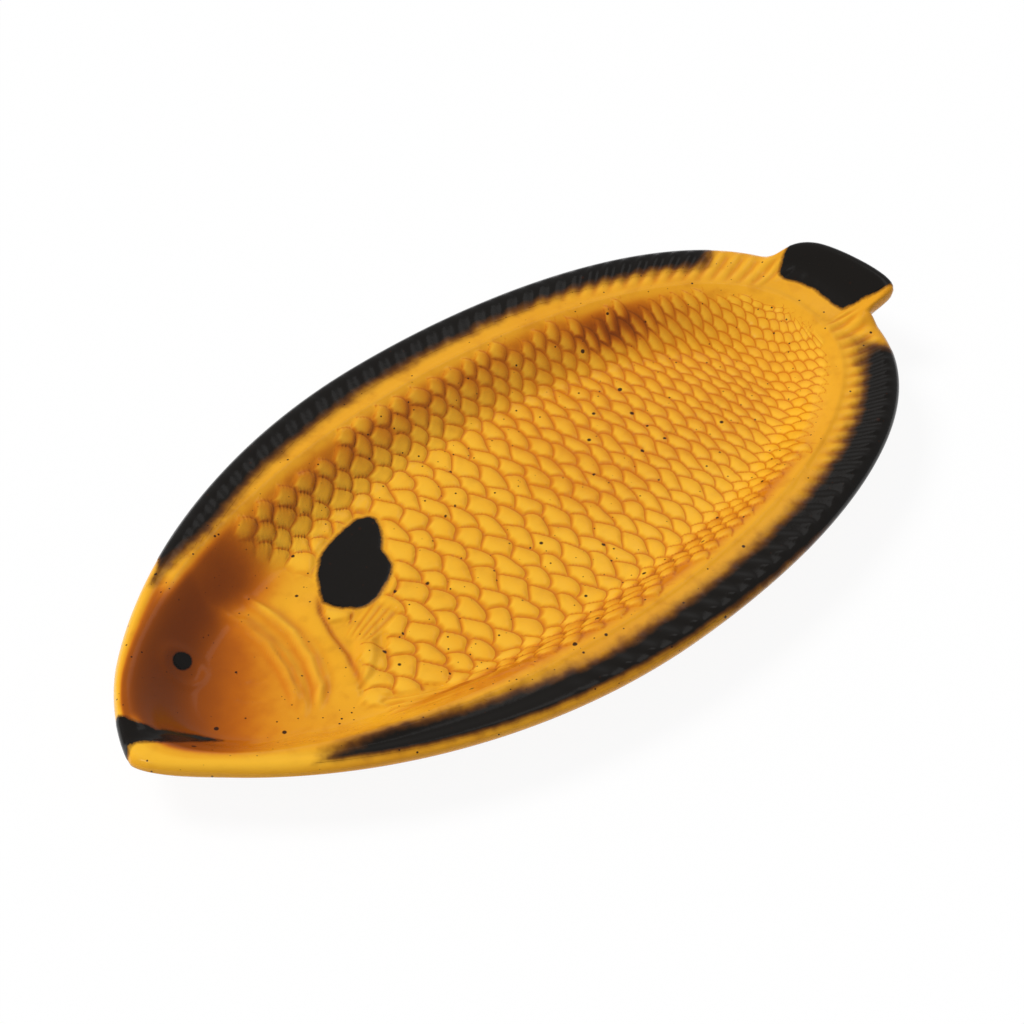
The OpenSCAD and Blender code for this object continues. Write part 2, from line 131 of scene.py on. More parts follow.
class PlatterRelief(PropertyGroup):
    """Sizes of the moulded relief."""

    scale_length: length("Scale length", "Length of the scales behind the head", 0.0105)
    scale_width: length("Scale width", "Distance between rows of scales at the widest point", 0.010)
    scale_rise: length("Scale rise", "Height of a scale's free edge", 0.0013)
    scale_arch: share("Scale arch", "How far the free edges of the scales arch towards the tail", 1.6)
    scale_wander: share("Scale wander", "How far the rows wander, as a share of a scale", 0.13)
    flute_rise: length("Flute rise", "Height of the flutes of the rim", 0.0006)
    flute_lean: angle("Flute lean", "Lean of the flutes towards the tail", 22.0)
    gill_rise: length("Gill rise", "Height of the gill ridges", 0.0017)
    eye_ring: length("Eye ring", "Radius of the raised ring round the eye", 0.0068)
    eye_spot: length("Eye spot", "Radius of the dark spot on the eye", 0.0038)
    coat: length("Coat", "Thickness of the dark glaze", 0.0001)


class PlatterGlaze(PropertyGroup):
    """Colours of the glazes and the clay."""

    amber: colour("Amber", "Glaze on the open surfaces", 221, 153, 26)
    pale: colour("Pale amber", "Glaze where it runs thin over raised edges", 240, 184, 50)
    # Deep amber, pooled amber and brown also lay painted shade, where the pool map carries it
    deep: colour("Deep amber", "Glaze that lies a little thicker", 197, 106, 7)
    pool: colour("Pooled amber", "Glaze where it gathers thickly", 146, 70, 4)
    brown: colour("Brown", "Edge of the dark glaze, where it runs into the amber", 84, 36, 8)
    black: colour("Black", "Dark glaze", 16, 12, 8)
    speck: colour("Speck", "Iron specks in the glaze", 36, 15, 5)
    clay: colour("Clay", "Bare clay under the foot ring", 176, 138, 104)


class PlatterStage(PropertyGroup):
    """Camera, light and floor."""

    elevation: angle("Camera elevation", "Height of the camera above the horizon", 45.7)
    azimuth: angle("Camera azimuth", "Turn of the camera round the dish", -41.9)
    distance: length("Camera distance", "From the camera to its target", 1.2217)
    target: FloatVectorProperty(
        name="Camera target",
        description="The point that the camera looks at",
        default=(-0.00336, -0.00163, 0.0219),
        subtype="XYZ",
        unit="LENGTH",
    )
    lens: share("Lens", "Focal length in millimetres on a 36 mm sensor", 118.1)
    key: share("Key light", "Strength of the light from behind the back fin", 2.8)
    key_height: angle("Key height", "Height of the key light above the horizon", 57.0)
    key_turn: angle("Key turn", "Turn of the key light from the back fin's side", -32.0)
    key_size: angle("Key size", "Apparent size of the key light, which softens its shadows", 24.0)
    sheen: share("Sheen light", "Power of the broad panel that the glaze reflects, in watts", 0.8)
    glint: share("Glint light", "Power of the small panel that the nose reflects, in watts", 1.2)
    fill: share("Fill light", "Strength of the even light from all round", 0.35)
    floor: colour("Floor", "Colour of the floor", 240, 240, 240)


def ease(t):
    """Runs from 0 to 1 with a soft start and a soft end."""
    t = np.clip(t, 0.0, 1.0)
    return t * t * (3.0 - 2.0 * t)


def ramp(value, start, end):
    """Runs softly from 0 at one value to 1 at another."""
    return ease((value - start) / (end - start))


def window(value, low, high, soft):
    """Is 1 between two values, and fades to 0 over a soft edge outside them."""
    return ramp(value, low - soft, low) * ramp(value, high + soft, high)


def bump(distance, width):
    """A soft ridge, 1 in the middle and about a third at its width."""
    return np.exp(-((distance / width) ** 2))


def to_line(x, y, start, end):
    """Distance across from a line, and the share of the way along it."""
    along = np.subtract(end, start)
    run = math.hypot(*along)
    along = along / run
    dx, dy = x - start[0], y - start[1]
    return dy * along[0] - dx * along[1], (dx * along[0] + dy * along[1]) / run


def to_outline(x, y, outline):
    """Distance from a closed outline, negative inside it."""
    points = np.array(outline, float)
    nearest = np.full(x.shape, 1e9)
    inside = np.zeros(x.shape, bool)
    for (ax, ay), (bx, by) in zip(points, np.roll(points, -1, axis=0)):
        ex, ey = bx - ax, by - ay
        t = np.clip(((x - ax) * ex + (y - ay) * ey) / (ex * ex + ey * ey), 0.0, 1.0)
        nearest = np.minimum(nearest, np.hypot(x - ax - t * ex, y - ay - t * ey))
        crosses = (ay > y) != (by > y)
        inside ^= crosses & (x < ax + (y - ay) * ex / (ey if ey else 1.0))
    return np.where(inside, -nearest, nearest)


def to_path(x, y, path):
    """Distance from an open path, positive on its tail side, and the share of the way along it."""
    points = np.array(path, float)
    runs = np.hypot(*np.diff(points, axis=0).T)
    nearest, side, along = np.full(x.shape, 1e9), np.ones(x.shape), np.zeros(x.shape)
    start = 0.0
    for (ax, ay), (bx, by), run in zip(points, points[1:], runs):
        ex, ey = bx - ax, by - ay
        t = np.clip(((x - ax) * ex + (y - ay) * ey) / run**2, 0.0, 1.0)
        away = np.hypot(x - ax - t * ex, y - ay - t * ey)
        closer = away < nearest
        nearest = np.where(closer, away, nearest)
        side = np.where(closer, np.sign(ex * (y - ay) - ey * (x - ax)), side)
        along = np.where(closer, (start + t * run) / runs.sum(), along)
        start += run
    return side * nearest, along


def pick(which, values):
    """Takes the first or the second of two sets of values, place by place."""
    return np.where(which == 0, values[0], values[1])


class Surface:
    """The dish's surface in millimetres, worked out from its sizes.

    A ring is a closed outline: its reach to the nose and to the tail from the widest
    point, its half width there, and its tapers towards the nose and the tail.
    Angles run round the dish from the tail, 0, over the back fin to the nose, pi.
    """

    EYE = (-134.7, 25.5)
    EYE_AXES = ((0.2476, -0.2048), (0.0857, 0.3143))
    EYE_RING = (-135.3, 23.0)
    FIN_RAYS = ((-77.0, -4.5), (-62.0, 0.5))
    BELLY_FIN = ((-94.0, -37.0), (-48.0, -62.0))
    JAW = ((-150.0, -16.0), (-116.0, -27.0))
    CHEEK = (((-131.0, 2.3), (-121.0, -6.0)), ((-123.0, 5.6), (-114.5, 1.2)))
    STAIN = ((66.0, 56.0), (120.0, 37.0))
    # Length of the nose that turns, and tapers of the crease towards the nose and the tail
    NOSE_RUN = 24.0
    CREASE_TAPERS = (0.55, 0.45)
    # Share of the wall that the scales climb
    FIELD_SHARE = 0.8
    # Distances from the nose, and the length of the scales there as a share of the scale length
    SCALE_LENGTHS = (
        (80, 105, 160, 190, 225, 255, 278, 305, 330),
        (1.05, 1.0, 0.886, 0.8, 0.667, 0.571, 0.476, 0.352, 0.276),
    )
    # Places along the body, and how far the rows of scales bend aside there
    ROW_BEND = ((-90, -60, -20, 20, 60, 100, 150), (2.0, 0.0, -4.0, -7.5, -2.0, 4.0, 5.5))
    # Places along the body and the pitch of the flutes there, on the back fin and on the belly fin
    FLUTE_PITCHES = (
        ((-130, -40, 110, 160), (9.0, 8.4, 7.2, 6.2)),
        ((-130, -40, 100, 160), (11.5, 11.0, 8.2, 6.2)),
    )
    # Places along the belly fin, and the width of the amber lip outside its dark band there,
    # negative where the band runs over the edge
    BELLY_LIP = ((-120, -60, 0, 60, 110), (2.6, 2.2, 1.5, 0.4, -2.5))
    # Gill ridges, from the back side to the belly side, and the share of the full rise of each
    RIDGE_SHARES = (1.0, 0.5, 1.0, 0.4)
    RIDGES = (
        ((-108.7, 38.5), (-105.7, 28.2), (-105.5, 14.3), (-108.3, 0.9), (-112.6, -10.2), (-116.9, -17.1)),
        ((-104.6, 36.7), (-102.7, 21.9), (-103.6, 6.7), (-107.3, -6.0), (-113.2, -16.3), (-118.8, -21.7)),
        ((-97.5, 40.4), (-95.5, 26.7), (-95.5, 12.6), (-98.6, -1.0), (-104.4, -13.9), (-112.0, -22.1)),
        ((-93.0, 29.7), (-93.9, 10.6), (-95.2, 1.1), (-99.5, -10.3), (-106.5, -19.7)),
    )
    # Rear edge of the gill cover, front border of the scales, and fold below the gill cover
    COVER = ((-72.0, 28.0), (-78.5, 20.4), (-83.1, 13.5), (-86.7, 2.5), (-88.7, -8.7), (-93.7, -21.5))
    FIELD = ((-101.0, 68.0), (-90.0, 50.0), (-82.0, 38.0), (-77.0, 26.0), *COVER[1:])
    FLAP = ((-74.5, -8.6), (-80.5, -16.0), (-87.0, -21.3), (-93.0, -22.6))
    # Dark spot on the side fin
    SPOT = (
        (-77.3, 17.0), (-75.8, 20.8), (-72.5, 25.5), (-69.5, 29.4), (-64.4, 34.4), (-58.5, 37.2),
        (-52.2, 38.7), (-46.5, 39.8), (-42.0, 40.2), (-38.5, 38.8), (-37.0, 36.2), (-38.2, 32.6),
        (-41.5, 27.2), (-45.6, 22.8), (-46.2, 18.6), (-47.6, 14.8), (-51.0, 11.4), (-56.4, 8.2),
        (-61.4, 6.0), (-66.4, 5.2), (-70.5, 6.6), (-73.4, 9.8), (-76.2, 13.4),
    )
    # Dark glaze in the mouth
    MOUTH = (
        (-171.6, 12.5), (-170.4, 10.5), (-169.6, 8.2), (-167.9, 4.9), (-165.8, 2.3), (-164.5, 0.3),
        (-161.4, 0.1), (-156.4, -1.3), (-151.8, -3.5), (-148.1, -7.0), (-145.7, -10.6), (-149.1, -9.5),
        (-153.8, -9.1), (-162.0, -9.3), (-167.9, -6.2), (-171.8, -3.0), (-173.7, -1.6), (-175.8, -1.0),
        (-176.5, 0.1), (-178.6, -1.9), (-182.0, -3.0), (-182.0, 6.0), (-176.0, 13.5),
    )
    # Dark patch on the tail fin
    PATCH = (
        (157.9, 22.2), (164.1, 26.3), (168.3, 27.8), (170.0, 34.0), (192.0, 34.0), (192.0, -16.3),
        (179.3, -15.7), (174.8, -14.8), (167.4, -11.5), (161.4, -10.0), (159.9, -9.4), (159.7, -4.8),
        (159.9, 0.3), (160.4, 5.6), (158.8, 12.2), (156.7, 18.2), (156.6, 20.4),
    )
    # Tail fin's outline from its notch on the belly side to its notch on the back side,
    # as distances from the tip and from the middle line
    TAIL = (
        (-13.2, -18.0), (-10.5, -17.9), (-7.0, -18.2), (-3.5, -18.5), (-1.2, -18.2), (0.4, -17.0),
        (1.4, -14.8), (2.0, -11.5), (2.1, -7.0), (1.9, -2.0), (1.4, 2.8), (0.8, 7.5), (0.0, 12.0),
        (-1.0, 16.4), (-2.3, 20.6), (-4.3, 24.2), (-6.6, 26.8), (-9.2, 28.5), (-12.5, 29.7),
        (-15.3, 30.3), (-17.0, 31.2), (-17.9, 32.4),
    )

    def __init__(self, settings):
        dish, relief = settings.dish, settings.relief
        self.nose_x = CAD_LOW.x / MM
        self.tip_x = CAD_HIGH.x / MM
        self.half = CAD_HIGH.y / MM
        self.widest_x = self.nose_x + dish.head_length / MM
        self.body_end_x = self.tip_x - dish.tail_reach / MM
        self.floor_z = dish.floor_height / MM
        self.depth = dish.well_depth / MM
        self.rim_z = self.floor_z + self.depth
        self.tail_rise = dish.tail_rise / MM
        self.clay = dish.clay / MM
        self.rim_clay = dish.rim_clay / MM
        self.round = dish.edge_round / MM
        self.foot_height = dish.foot_height / MM
        self.foot_width = dish.foot_width / MM
        self.foot_inset = dish.foot_inset / MM
        self.tail_offset = dish.tail_offset / MM
        self.nose_turn = dish.nose_turn / MM
        self.relief = relief
        reach = self.body_end_x - self.widest_x
        head = dish.head_length / MM
        self.edge_ring = np.array([head, reach, self.half, dish.head_taper, dish.tail_taper])
        rim = dish.rim_width / MM
        self.crease_ring = np.array([
            head - dish.lip_width / MM,
            reach - dish.tail_rim / MM,
            self.half - rim,
            *self.CREASE_TAPERS,
        ])
        wall = dish.wall_run / MM
        self.floor_ring = self.crease_ring - [dish.nose_wall_run / MM, wall + 3.0, wall, 0.03, 0.0]
        soft = dish.foot_run / MM
        self.well_ring = self.floor_ring - [soft, 1.4 * soft, soft, 0.0, 0.0]
        self.field_ring = self.floor_ring + self.FIELD_SHARE * (self.crease_ring - self.floor_ring)
        self.lay_out_tail()
        self.lay_out_flutes()
        self.lay_out_scales()

    def on_ring(self, ring, a):
        """Places on a ring, at angles round the dish."""
        c, s = np.cos(a), np.sin(a)
        nose = c < 0
        x = self.widest_x + np.where(nose, ring[0], ring[1]) * c
        y = ring[2] * np.sign(s) * np.abs(s) ** (2.0 * np.where(nose, ring[3], ring[4]))
        return np.stack([x, y], -1)

    def half_width(self, ring, x):
        """Half of a ring's width at places along the body."""
        dx = x - self.widest_x
        nose = dx < 0
        inside = np.clip(1.0 - (dx / np.where(nose, ring[0], ring[1])) ** 2, 0.0, 1.0)
        return ring[2] * inside ** np.where(nose, ring[3], ring[4])

    def turn_nose(self, xy):
        """Turns the tip of the nose towards the belly side."""
        along = np.clip((self.nose_x + self.NOSE_RUN - xy[:, 0]) / self.NOSE_RUN, 0.0, 1.0)
        return xy - np.stack([np.zeros_like(along), self.nose_turn * along**2], -1)

    def lay_out_tail(self):
        """Draws the tail fin's outline and finds the angles of its two notches."""
        points = np.array(self.TAIL) + [self.tip_x, 0.0]
        steps = np.hypot(*np.diff(points, axis=0).T)
        places = np.concatenate([[0.0], np.cumsum(steps)])
        fine = np.linspace(0.0, places[-1], 400)
        path = np.stack([np.interp(fine, places, points[:, k]) for k in (0, 1)], -1)
        for _ in range(60):
            path[1:-1] = (path[:-2] + 2.0 * path[1:-1] + path[2:]) / 4.0
        runs = np.concatenate([[0.0], np.cumsum(np.hypot(*np.diff(path, axis=0).T))])
        self.tail_path = path
        self.tail_places = runs / runs[-1]
        power = 0.5 / self.edge_ring[4]
        self.notches = [
            math.copysign(math.asin((abs(y) / self.half) ** power), y)
            for y in (points[0, 1], points[-1, 1])
        ]

    def edge(self, a):
        """The outer edge, with the tail fin."""
        a = np.mod(a + math.pi, 2.0 * math.pi) - math.pi
        points = self.on_ring(self.edge_ring, a)
        low, high = self.notches
        tail = (a > low) & (a < high)
        place = (a[tail] - low) / (high - low)
        for k in (0, 1):
            points[tail, k] = np.interp(place, self.tail_places, self.tail_path[:, k])
        return points

    def lay_out_flutes(self):
        """Counts the flutes along each side of the rim, from the tail to the nose."""
        self.flute_angles = np.linspace(0.0, math.pi, 2000)
        points = self.on_ring(self.edge_ring, self.flute_angles)
        self.flute_run = np.hypot(*np.gradient(points, self.flute_angles, axis=0).T)
        steps = np.hypot(*np.diff(points, axis=0).T)
        middle = (points[1:, 0] + points[:-1, 0]) / 2.0
        self.flute_counts = []
        for pitches in self.FLUTE_PITCHES:
            pitch = np.interp(middle, *pitches)
            self.flute_counts.append(np.concatenate([[0.0], np.cumsum(steps / pitch)]))

    def lay_out_scales(self):
        """Counts the columns of scales along the body, and bends their rows."""
        relief = self.relief
        # A place every quarter of a millimetre, from well before the nose to well past the tail
        x = np.linspace(-220.0, 220.0, 1761)
        long = relief.scale_length / MM * np.interp(x - self.nose_x, *self.SCALE_LENGTHS)
        self.scale_x = x
        self.scale_columns = np.concatenate(
            [[0.0], np.cumsum(4.0 / (long[1:] + long[:-1]) * np.diff(x))]
        )
        reach = 60
        soft = np.hanning(2 * reach + 1)
        bend = np.pad(np.interp(x, *self.ROW_BEND), reach, mode="edge")
        self.row_bend = np.convolve(bend, soft / soft.sum(), mode="valid")
        self.row_width = relief.scale_width / MM

    def row_at(self, x):
        """Width of a row of scales at a place along the body."""
        share_wide = self.half_width(self.field_ring, x) / self.field_ring[2]
        return self.row_width * np.maximum(share_wide, 0.12) ** 0.85

    def wall_rows(self, x):
        """Where the rows of scales start to lie closer on the wall, and how much closer they lie."""
        return 0.92 * self.half_width(self.floor_ring, x), 1.0 - ramp(x, 50.0, 110.0)

    def lattice(self, x, y):
        """Column and row of a place on the lattice of the scales."""
        foot, crowd = self.wall_rows(x)
        climb = crowd * np.sign(y) * np.maximum(np.abs(y) - foot, 0.0)
        r = (y + climb - np.interp(x, self.scale_x, self.row_bend)) / self.row_at(x)
        c = np.interp(x, self.scale_x, self.scale_columns)
        wander = self.relief.scale_wander
        c = c + wander * (np.sin(0.33 * x + 0.19 * y + 1.0) + np.sin(0.41 * y - 0.12 * x))
        r = r + 0.5 * wander * (np.sin(0.29 * x - 0.15 * y + 2.0) + np.sin(0.47 * x + 0.21 * y))
        return c, r

    def is_scale(self, c, r):
        """Whether the relief has a scale whose free edge lies at a place of the lattice."""
        x = np.interp(c, self.scale_columns, self.scale_x)
        foot, crowd = self.wall_rows(x)
        y = r * self.row_at(x) + np.interp(x, self.scale_x, self.row_bend)
        y = np.where(np.abs(y) > foot, np.sign(y) * (np.abs(y) + crowd * foot) / (1.0 + crowd), y)
        behind, _ = to_path(x - 5.0, y, self.FIELD)
        across, along = to_line(x, y, *self.FIN_RAYS)
        rays = (np.abs(across) < 6.5) & (along > -0.4) & (along < 0.95)
        across, along = to_line(x, y, *self.BELLY_FIN)
        belly = (across < 6.0) & (along < 0.85)
        field = np.abs(y) < self.half_width(self.field_ring, x) - 1.0
        return field & (behind > -1.0) & ~rays & ~belly

    def scales(self, x, y):
        """Lattice place, presence and height of the scale at each place, and of the one it passes."""
        c, r = self.lattice(x, y)
        arch = self.relief.scale_arch
        row = np.floor(r)
        rows, tips, past, ahead = [], [], [], []
        for k in (0.0, 1.0):
            w = r - row - k
            f = c + arch * w * w - row - k
            passed = np.mod(f, 2.0)
            rows.append(row + k)
            past.append(passed)
            ahead.append(2.0 - passed)
            tips.append(np.round(f - passed + 2.0 + row + k))
        top = np.where(tips[0] < tips[1], 0, 1)
        for k in (0, 1):
            past[k] = past[k] + 9.0 * (tips[k] - tips[1 - k] > 2.0)
        last = np.where(past[0] <= past[1], 0, 1)
        own = self.is_scale(pick(top, tips), pick(top, rows))
        before = self.is_scale(pick(last, tips) - 2.0, pick(last, rows))
        long = 1.0 / np.interp(x, self.scale_x, np.gradient(self.scale_columns, self.scale_x))
        behind = np.minimum(past[0], past[1]) * long
        front = pick(top, ahead) * long
        size = np.clip(long / 5.0, 0.3, 1.0)
        u = behind / np.maximum(behind + front, 1e-6)
        crown = 0.72 * ramp(behind, 0.0, 2.6 * size) + 0.28 * u
        crown = crown - 0.4 * (1.0 - ramp(front, 0.0, 1.5 * size))
        step = 0.6 * (1.0 - ramp(behind, 0.0, size))
        height = np.maximum(own * crown, before * step)
        return c, r, own, before, height * self.relief.scale_rise / MM * size

    def gills(self, x, y):
        """Height of the gill cover and of the ridges before it, the ridges alone, and the grooves with a
        painted shade where the gill cover's rear edge drops.
        """
        ridge, valley = 0.0, 0.0
        for path, high in zip(self.RIDGES, self.RIDGE_SHARES):
            away, along = to_path(x, y, path)
            high = high * window(along, 0.16, 0.84, 0.16)
            ridge = ridge + high * bump(away, 1.3)
            valley = valley + high * (bump(away - 2.6, 1.2) + bump(away + 2.6, 1.2))
        away, along = to_path(x, y, self.COVER)
        shown = window(along, 0.3, 0.9, 0.2)
        fold = ramp(away, -12.0, 0.0) * (1.0 - ramp(away, 0.0, 1.6)) * shown
        shade = bump(away - 1.2, 1.3) * shown
        away, along = to_path(x, y, self.FLAP)
        flap = ramp(np.abs(away + 3.5), 5.0, 2.0) * window(along, 0.1, 0.9, 0.15)
        fold = np.maximum(fold, 0.8 * flap)
        rise = self.relief.gill_rise / MM
        return rise * (ridge + fold), np.minimum(ridge, 1.0), np.minimum(valley * 0.7 + shade, 1.0)

    def fins(self, x, y, spot):
        """Height of the side fin and the belly fin, and their rays and grooves."""
        height = 0.5 * (1.0 - ramp(spot, -0.5, 3.5))
        across, along = to_line(x, y, *self.FIN_RAYS)
        patch = ramp(np.abs(across), 6.5, 4.0) * window(along, 0.0, 0.85, 0.3)
        wave = np.cos(2.0 * math.pi * across / (2.2 + 0.8 * along))
        crest, groove = patch * ease(wave), patch * ease(-wave)
        height = np.maximum(height, patch * (0.45 + 0.1 * wave))
        across, along = to_line(x, y, *self.BELLY_FIN)
        spread = 7.5 - 4.5 * np.clip(along, 0.0, 1.0)
        leaf = ramp(np.abs(across) / spread, 1.0, 0.5) * window(along, 0.08, 0.95, 0.12)
        wave = np.cos(4.4 * math.pi * across / spread)
        crest, groove = crest + leaf * ease(wave), groove + leaf * ease(-wave)
        return height, leaf * (0.7 + 0.4 * wave), crest, groove

    def head(self, x, y):
        """Height of the eye, and of the creases of the cheek and jaw."""
        spot = np.hypot(x - self.EYE[0], y - self.EYE[1])
        ring = np.hypot(x - self.EYE_RING[0], y - self.EYE_RING[1])
        height = 0.35 * bump(ring - self.relief.eye_ring / MM, 1.7) + 0.5 * bump(spot, 5.0)
        for start, end in self.CHEEK:
            across, along = to_line(x, y, start, end)
            height = height - 0.3 * bump(across, 0.9) * window(along, 0.3, 0.7, 0.3)
        across, along = to_line(x, y, *self.JAW)
        return height - 0.4 * bump(across, 1.2) * window(along, 0.2, 0.8, 0.2)

    def flutes(self, a, x, inset):
        """Crests and grooves of the leaning flutes along the rim."""
        back = np.sin(a) > 0
        turn = np.abs(np.mod(a + math.pi, 2.0 * math.pi) - math.pi)
        counts, slopes = [], []
        for count in self.flute_counts:
            counts.append(np.interp(turn, self.flute_angles, count))
            slopes.append(np.interp(turn, self.flute_angles, np.gradient(count, self.flute_angles)))
        which = np.where(back, 0, 1)
        run = np.interp(turn, self.flute_angles, self.flute_run)
        lean = math.tan(self.relief.flute_lean) * pick(which, slopes) / run
        wave = np.cos(2.0 * math.pi * (pick(which, counts) - inset * lean))
        start = np.where(back, -105.0, -28.0)
        strength = window(x, start, self.body_end_x - 12.0, 30.0)
        strength = strength * ramp(self.body_end_x - x, 3.0, 9.0)
        tailward = ramp(x, 40.0, 120.0)
        tip = ramp(inset + 1.2 * wave, 3.4, 5.8)
        inner = 1.0 - ramp(inset - 7.0 * tailward, 9.0, 15.0)
        depth = (0.45 + 0.55 * np.where(back, tailward, 1.0)) * strength * tip * inner
        return depth * (0.5 + 0.5 * wave), depth * ease(-wave)

    def bands(self, x, y, inset):
        """Distance inside the soft edge of the dark bands along the rim."""

        def band(width, swell, shrink, start, end):
            """One band, from its full width and the stretches where it grows, narrows and stops."""
            past = 9.0 * (1.0 - ramp(x, *start)) + 9.0 * ramp(x, *end)
            return width * ramp(x, *swell) * ramp(x, *shrink) - inset - past

        back = band(12.5, (-138.0, -88.0), (160.0, 130.0), (-134.0, -124.0), (140.0, 154.0))
        back = np.minimum(back, 2.0 * (inset - 3.4) + 40.0 * ramp(x, -122.0, -92.0))
        belly = band(13.5, (-155.0, -100.0), (172.0, 142.0), (-148.0, -126.0), (152.0, 164.0))
        belly = np.minimum(belly, 2.5 * (inset - np.interp(x, *self.BELLY_LIP)))
        return np.where(y > 0, back, belly)

    def top(self, u, v):
        """Places, angles and marks of the upper side, for places on a square grid.

        From the middle outwards, the grid runs over the floor, the wall, the rim and its lip.
        """
        out = np.maximum(np.abs(u), np.abs(v))
        flat = np.abs(u) >= np.abs(v)
        quarter = math.pi / 4.0
        a = np.where(
            flat,
            quarter * v / np.where(u == 0, 1.0, u) + np.where(u < 0, math.pi, 0.0),
            2.0 * quarter - quarter * u / np.where(v == 0, 1.0, v) + np.where(v < 0, math.pi, 0.0),
        )
        # Places lie closer together along the two long sides
        a = a + 0.15 * np.sin(2.0 * a)
        floor = self.on_ring(self.well_ring, a)
        crease = self.on_ring(self.crease_ring, a)
        edge = self.edge(a)
        middle = np.array([self.widest_x, 0.0])
        rim_run = np.hypot(*(edge - crease).T)
        inward = (crease - edge) / rim_run[:, None]
        lip_run = 1.3 * self.round
        runs = np.stack([
            np.hypot(*(floor - middle).T),
            1.25 * np.hypot(*(crease - floor).T),
            rim_run - lip_run,
            np.full_like(out, 1.5 * lip_run),
        ], -1)
        stops = np.cumsum(runs, -1) / runs.sum(-1)[:, None]
        floor_share = np.clip(out / stops[:, 0], 0.0, 1.0)
        level = np.clip((out - stops[:, 0]) / (stops[:, 1] - stops[:, 0]), 0.0, 1.0)
        rim_share = np.clip((out - stops[:, 1]) / (stops[:, 2] - stops[:, 1]), 0.0, 1.0)
        turn = np.clip((out - stops[:, 2]) / (1.0 - stops[:, 2]), 0.0, 1.0) * math.pi / 2.0
        on_rim = rim_share > 0
        lip_start = edge + inward * lip_run
        wall = self.wall_points(self.well_ring, level, a)
        xy = np.where((level > 0)[:, None], wall, middle + (floor - middle) * floor_share[:, None])
        xy = np.where(on_rim[:, None], crease + (lip_start - crease) * rim_share[:, None], xy)
        xy = xy - inward * (lip_run * np.sin(turn) * on_rim)[:, None]
        x, y = self.turn_nose(xy).T
        inset = (1.0 - rim_share) * (rim_run - lip_run) + lip_run * (1.0 - np.sin(turn))
        inset = np.where(on_rim, inset, rim_run) + (1.0 - level) * np.hypot(*(crease - floor).T)
        roll = ramp(-np.cos(a), 0.55, 0.95)
        hollow = 0.7 * (1.0 - roll) * np.sin(math.pi * rim_share) ** 2
        bead = roll * 1.2 * np.clip(1.0 - inset / np.maximum(rim_run, 1.0), 0.0, 1.0) ** 2
        z = self.wall_height(level, 1.2) - on_rim * (hollow + bead) - self.round * (1.0 - np.cos(turn))
        z = z + self.tail_lift(x, y)
        bend = rim_share * rim_run
        spread = {"angle": a, "inset": inset, "level": level, "rim": on_rim, "bend": bend}
        return np.stack([x, y, z], -1), a, self.marks(x, y, spread)

    def wall_height(self, level, power=1.0):
        """Height of the wall, from its foot at level 0 to the crease at level 1."""
        return self.floor_z + self.depth * ((1.0 - np.cos(math.pi * level)) / 2.0) ** power

    def wall_points(self, foot, level, a):
        """Places on the wall, between the ring at its foot and the crease."""
        ring = [f + level * (c - f) for f, c in zip(foot, self.crease_ring)]
        return self.on_ring(ring, a)

    def tail_lift(self, x, y):
        """Rise of the tail fin above the rim."""
        root = self.body_end_x - 16.0
        along = np.clip((x - root) / (self.tip_x - root), 0.0, 1.1)
        side = ramp(np.abs(y - self.tail_offset), 30.0, 23.0)
        return self.tail_rise * along**1.25 * side

    def marks(self, x, y, spread):
        """Relief height, and the values that the glaze follows."""
        inset, level, rim = spread["inset"], spread["level"], spread["rim"]
        c, r, own, before, scale = self.scales(x, y)
        behind, _ = to_path(x, y, self.FIELD)
        fresh = np.where(y > 20.0, ramp(behind, 1.0, 11.0), 1.0)
        spot = to_outline(x, y, self.SPOT)
        fin, belly_fin, ray, furrow = self.fins(x, y, spot)
        # valley holds the gill grooves and the painted shade behind the gill cover's edge
        gill, ridge, valley = self.gills(x, y)
        bare = (1.0 - np.clip(fin / 0.3, 0.0, 1.0)) * (1.0 - np.clip(belly_fin / 0.3, 0.0, 1.0))
        well = np.maximum(np.maximum(scale * bare * fresh, fin), belly_fin) + gill + self.head(x, y)
        well = well * ramp(level, 0.99, 0.93)
        crest, groove = self.flutes(spread["angle"], x, inset)
        from_crease = np.where(rim, spread["bend"], (1.0 - level) * 24.0)
        bead = bump(from_crease, 1.1) * ramp(x, -140.0, -100.0)
        rise = self.relief.flute_rise / MM
        height = np.where(rim, rise * crest, well) + 0.4 * bead
        mouth = to_outline(x, y, self.MOUTH)
        height = height - 0.6 * (1.0 - ramp(mouth, -2.5, 0.5))
        across, along = np.array(self.EYE_AXES) @ np.stack([x - self.EYE[0], y - self.EYE[1]])
        eye = 2.0 * self.relief.eye_spot / MM * (np.hypot(across, along) - 1.0)
        patch = np.where(rim, to_outline(x, y, self.PATCH), 20.0)
        hard = np.minimum(np.minimum(spot, eye), np.minimum(mouth, patch))
        band = np.maximum(self.bands(x, y, inset), -20.0)
        blend = ramp(level, 0.8, 1.0)
        # On the belly side of the nose the pale lip is a painted sheen; on the back side it is glaze
        # running thin over the edge
        thin = np.where(y < 5.0, window(inset, 3.0, 6.0, 3.0), window(inset, 0.8, 2.4, 1.6))
        lip = ramp(x, -105.0, -135.0) * thin
        shown = bare * fresh * (level < 0.98) * ~rim
        return {
            "height": height * ramp(inset, 0.0, 2.2),
            "lattice": np.stack([c, np.clip(r, -12.0, 12.0), own * shown], -1),
            "cover": np.stack([band, hard, before * shown], -1),
            # tint holds the pool map with its painted shade, the crests with the painted sheen on the
            # nose lip, and the grooves with the painted shade behind the gill cover
            "tint": np.stack([
                self.pool(x, y, spread),
                blend * (0.6 * crest + lip) + (1.0 - blend) * (ridge + 0.3 * ray),
                blend * 0.5 * groove + (1.0 - blend) * (valley + 0.55 * furrow),
            ], -1),
        }

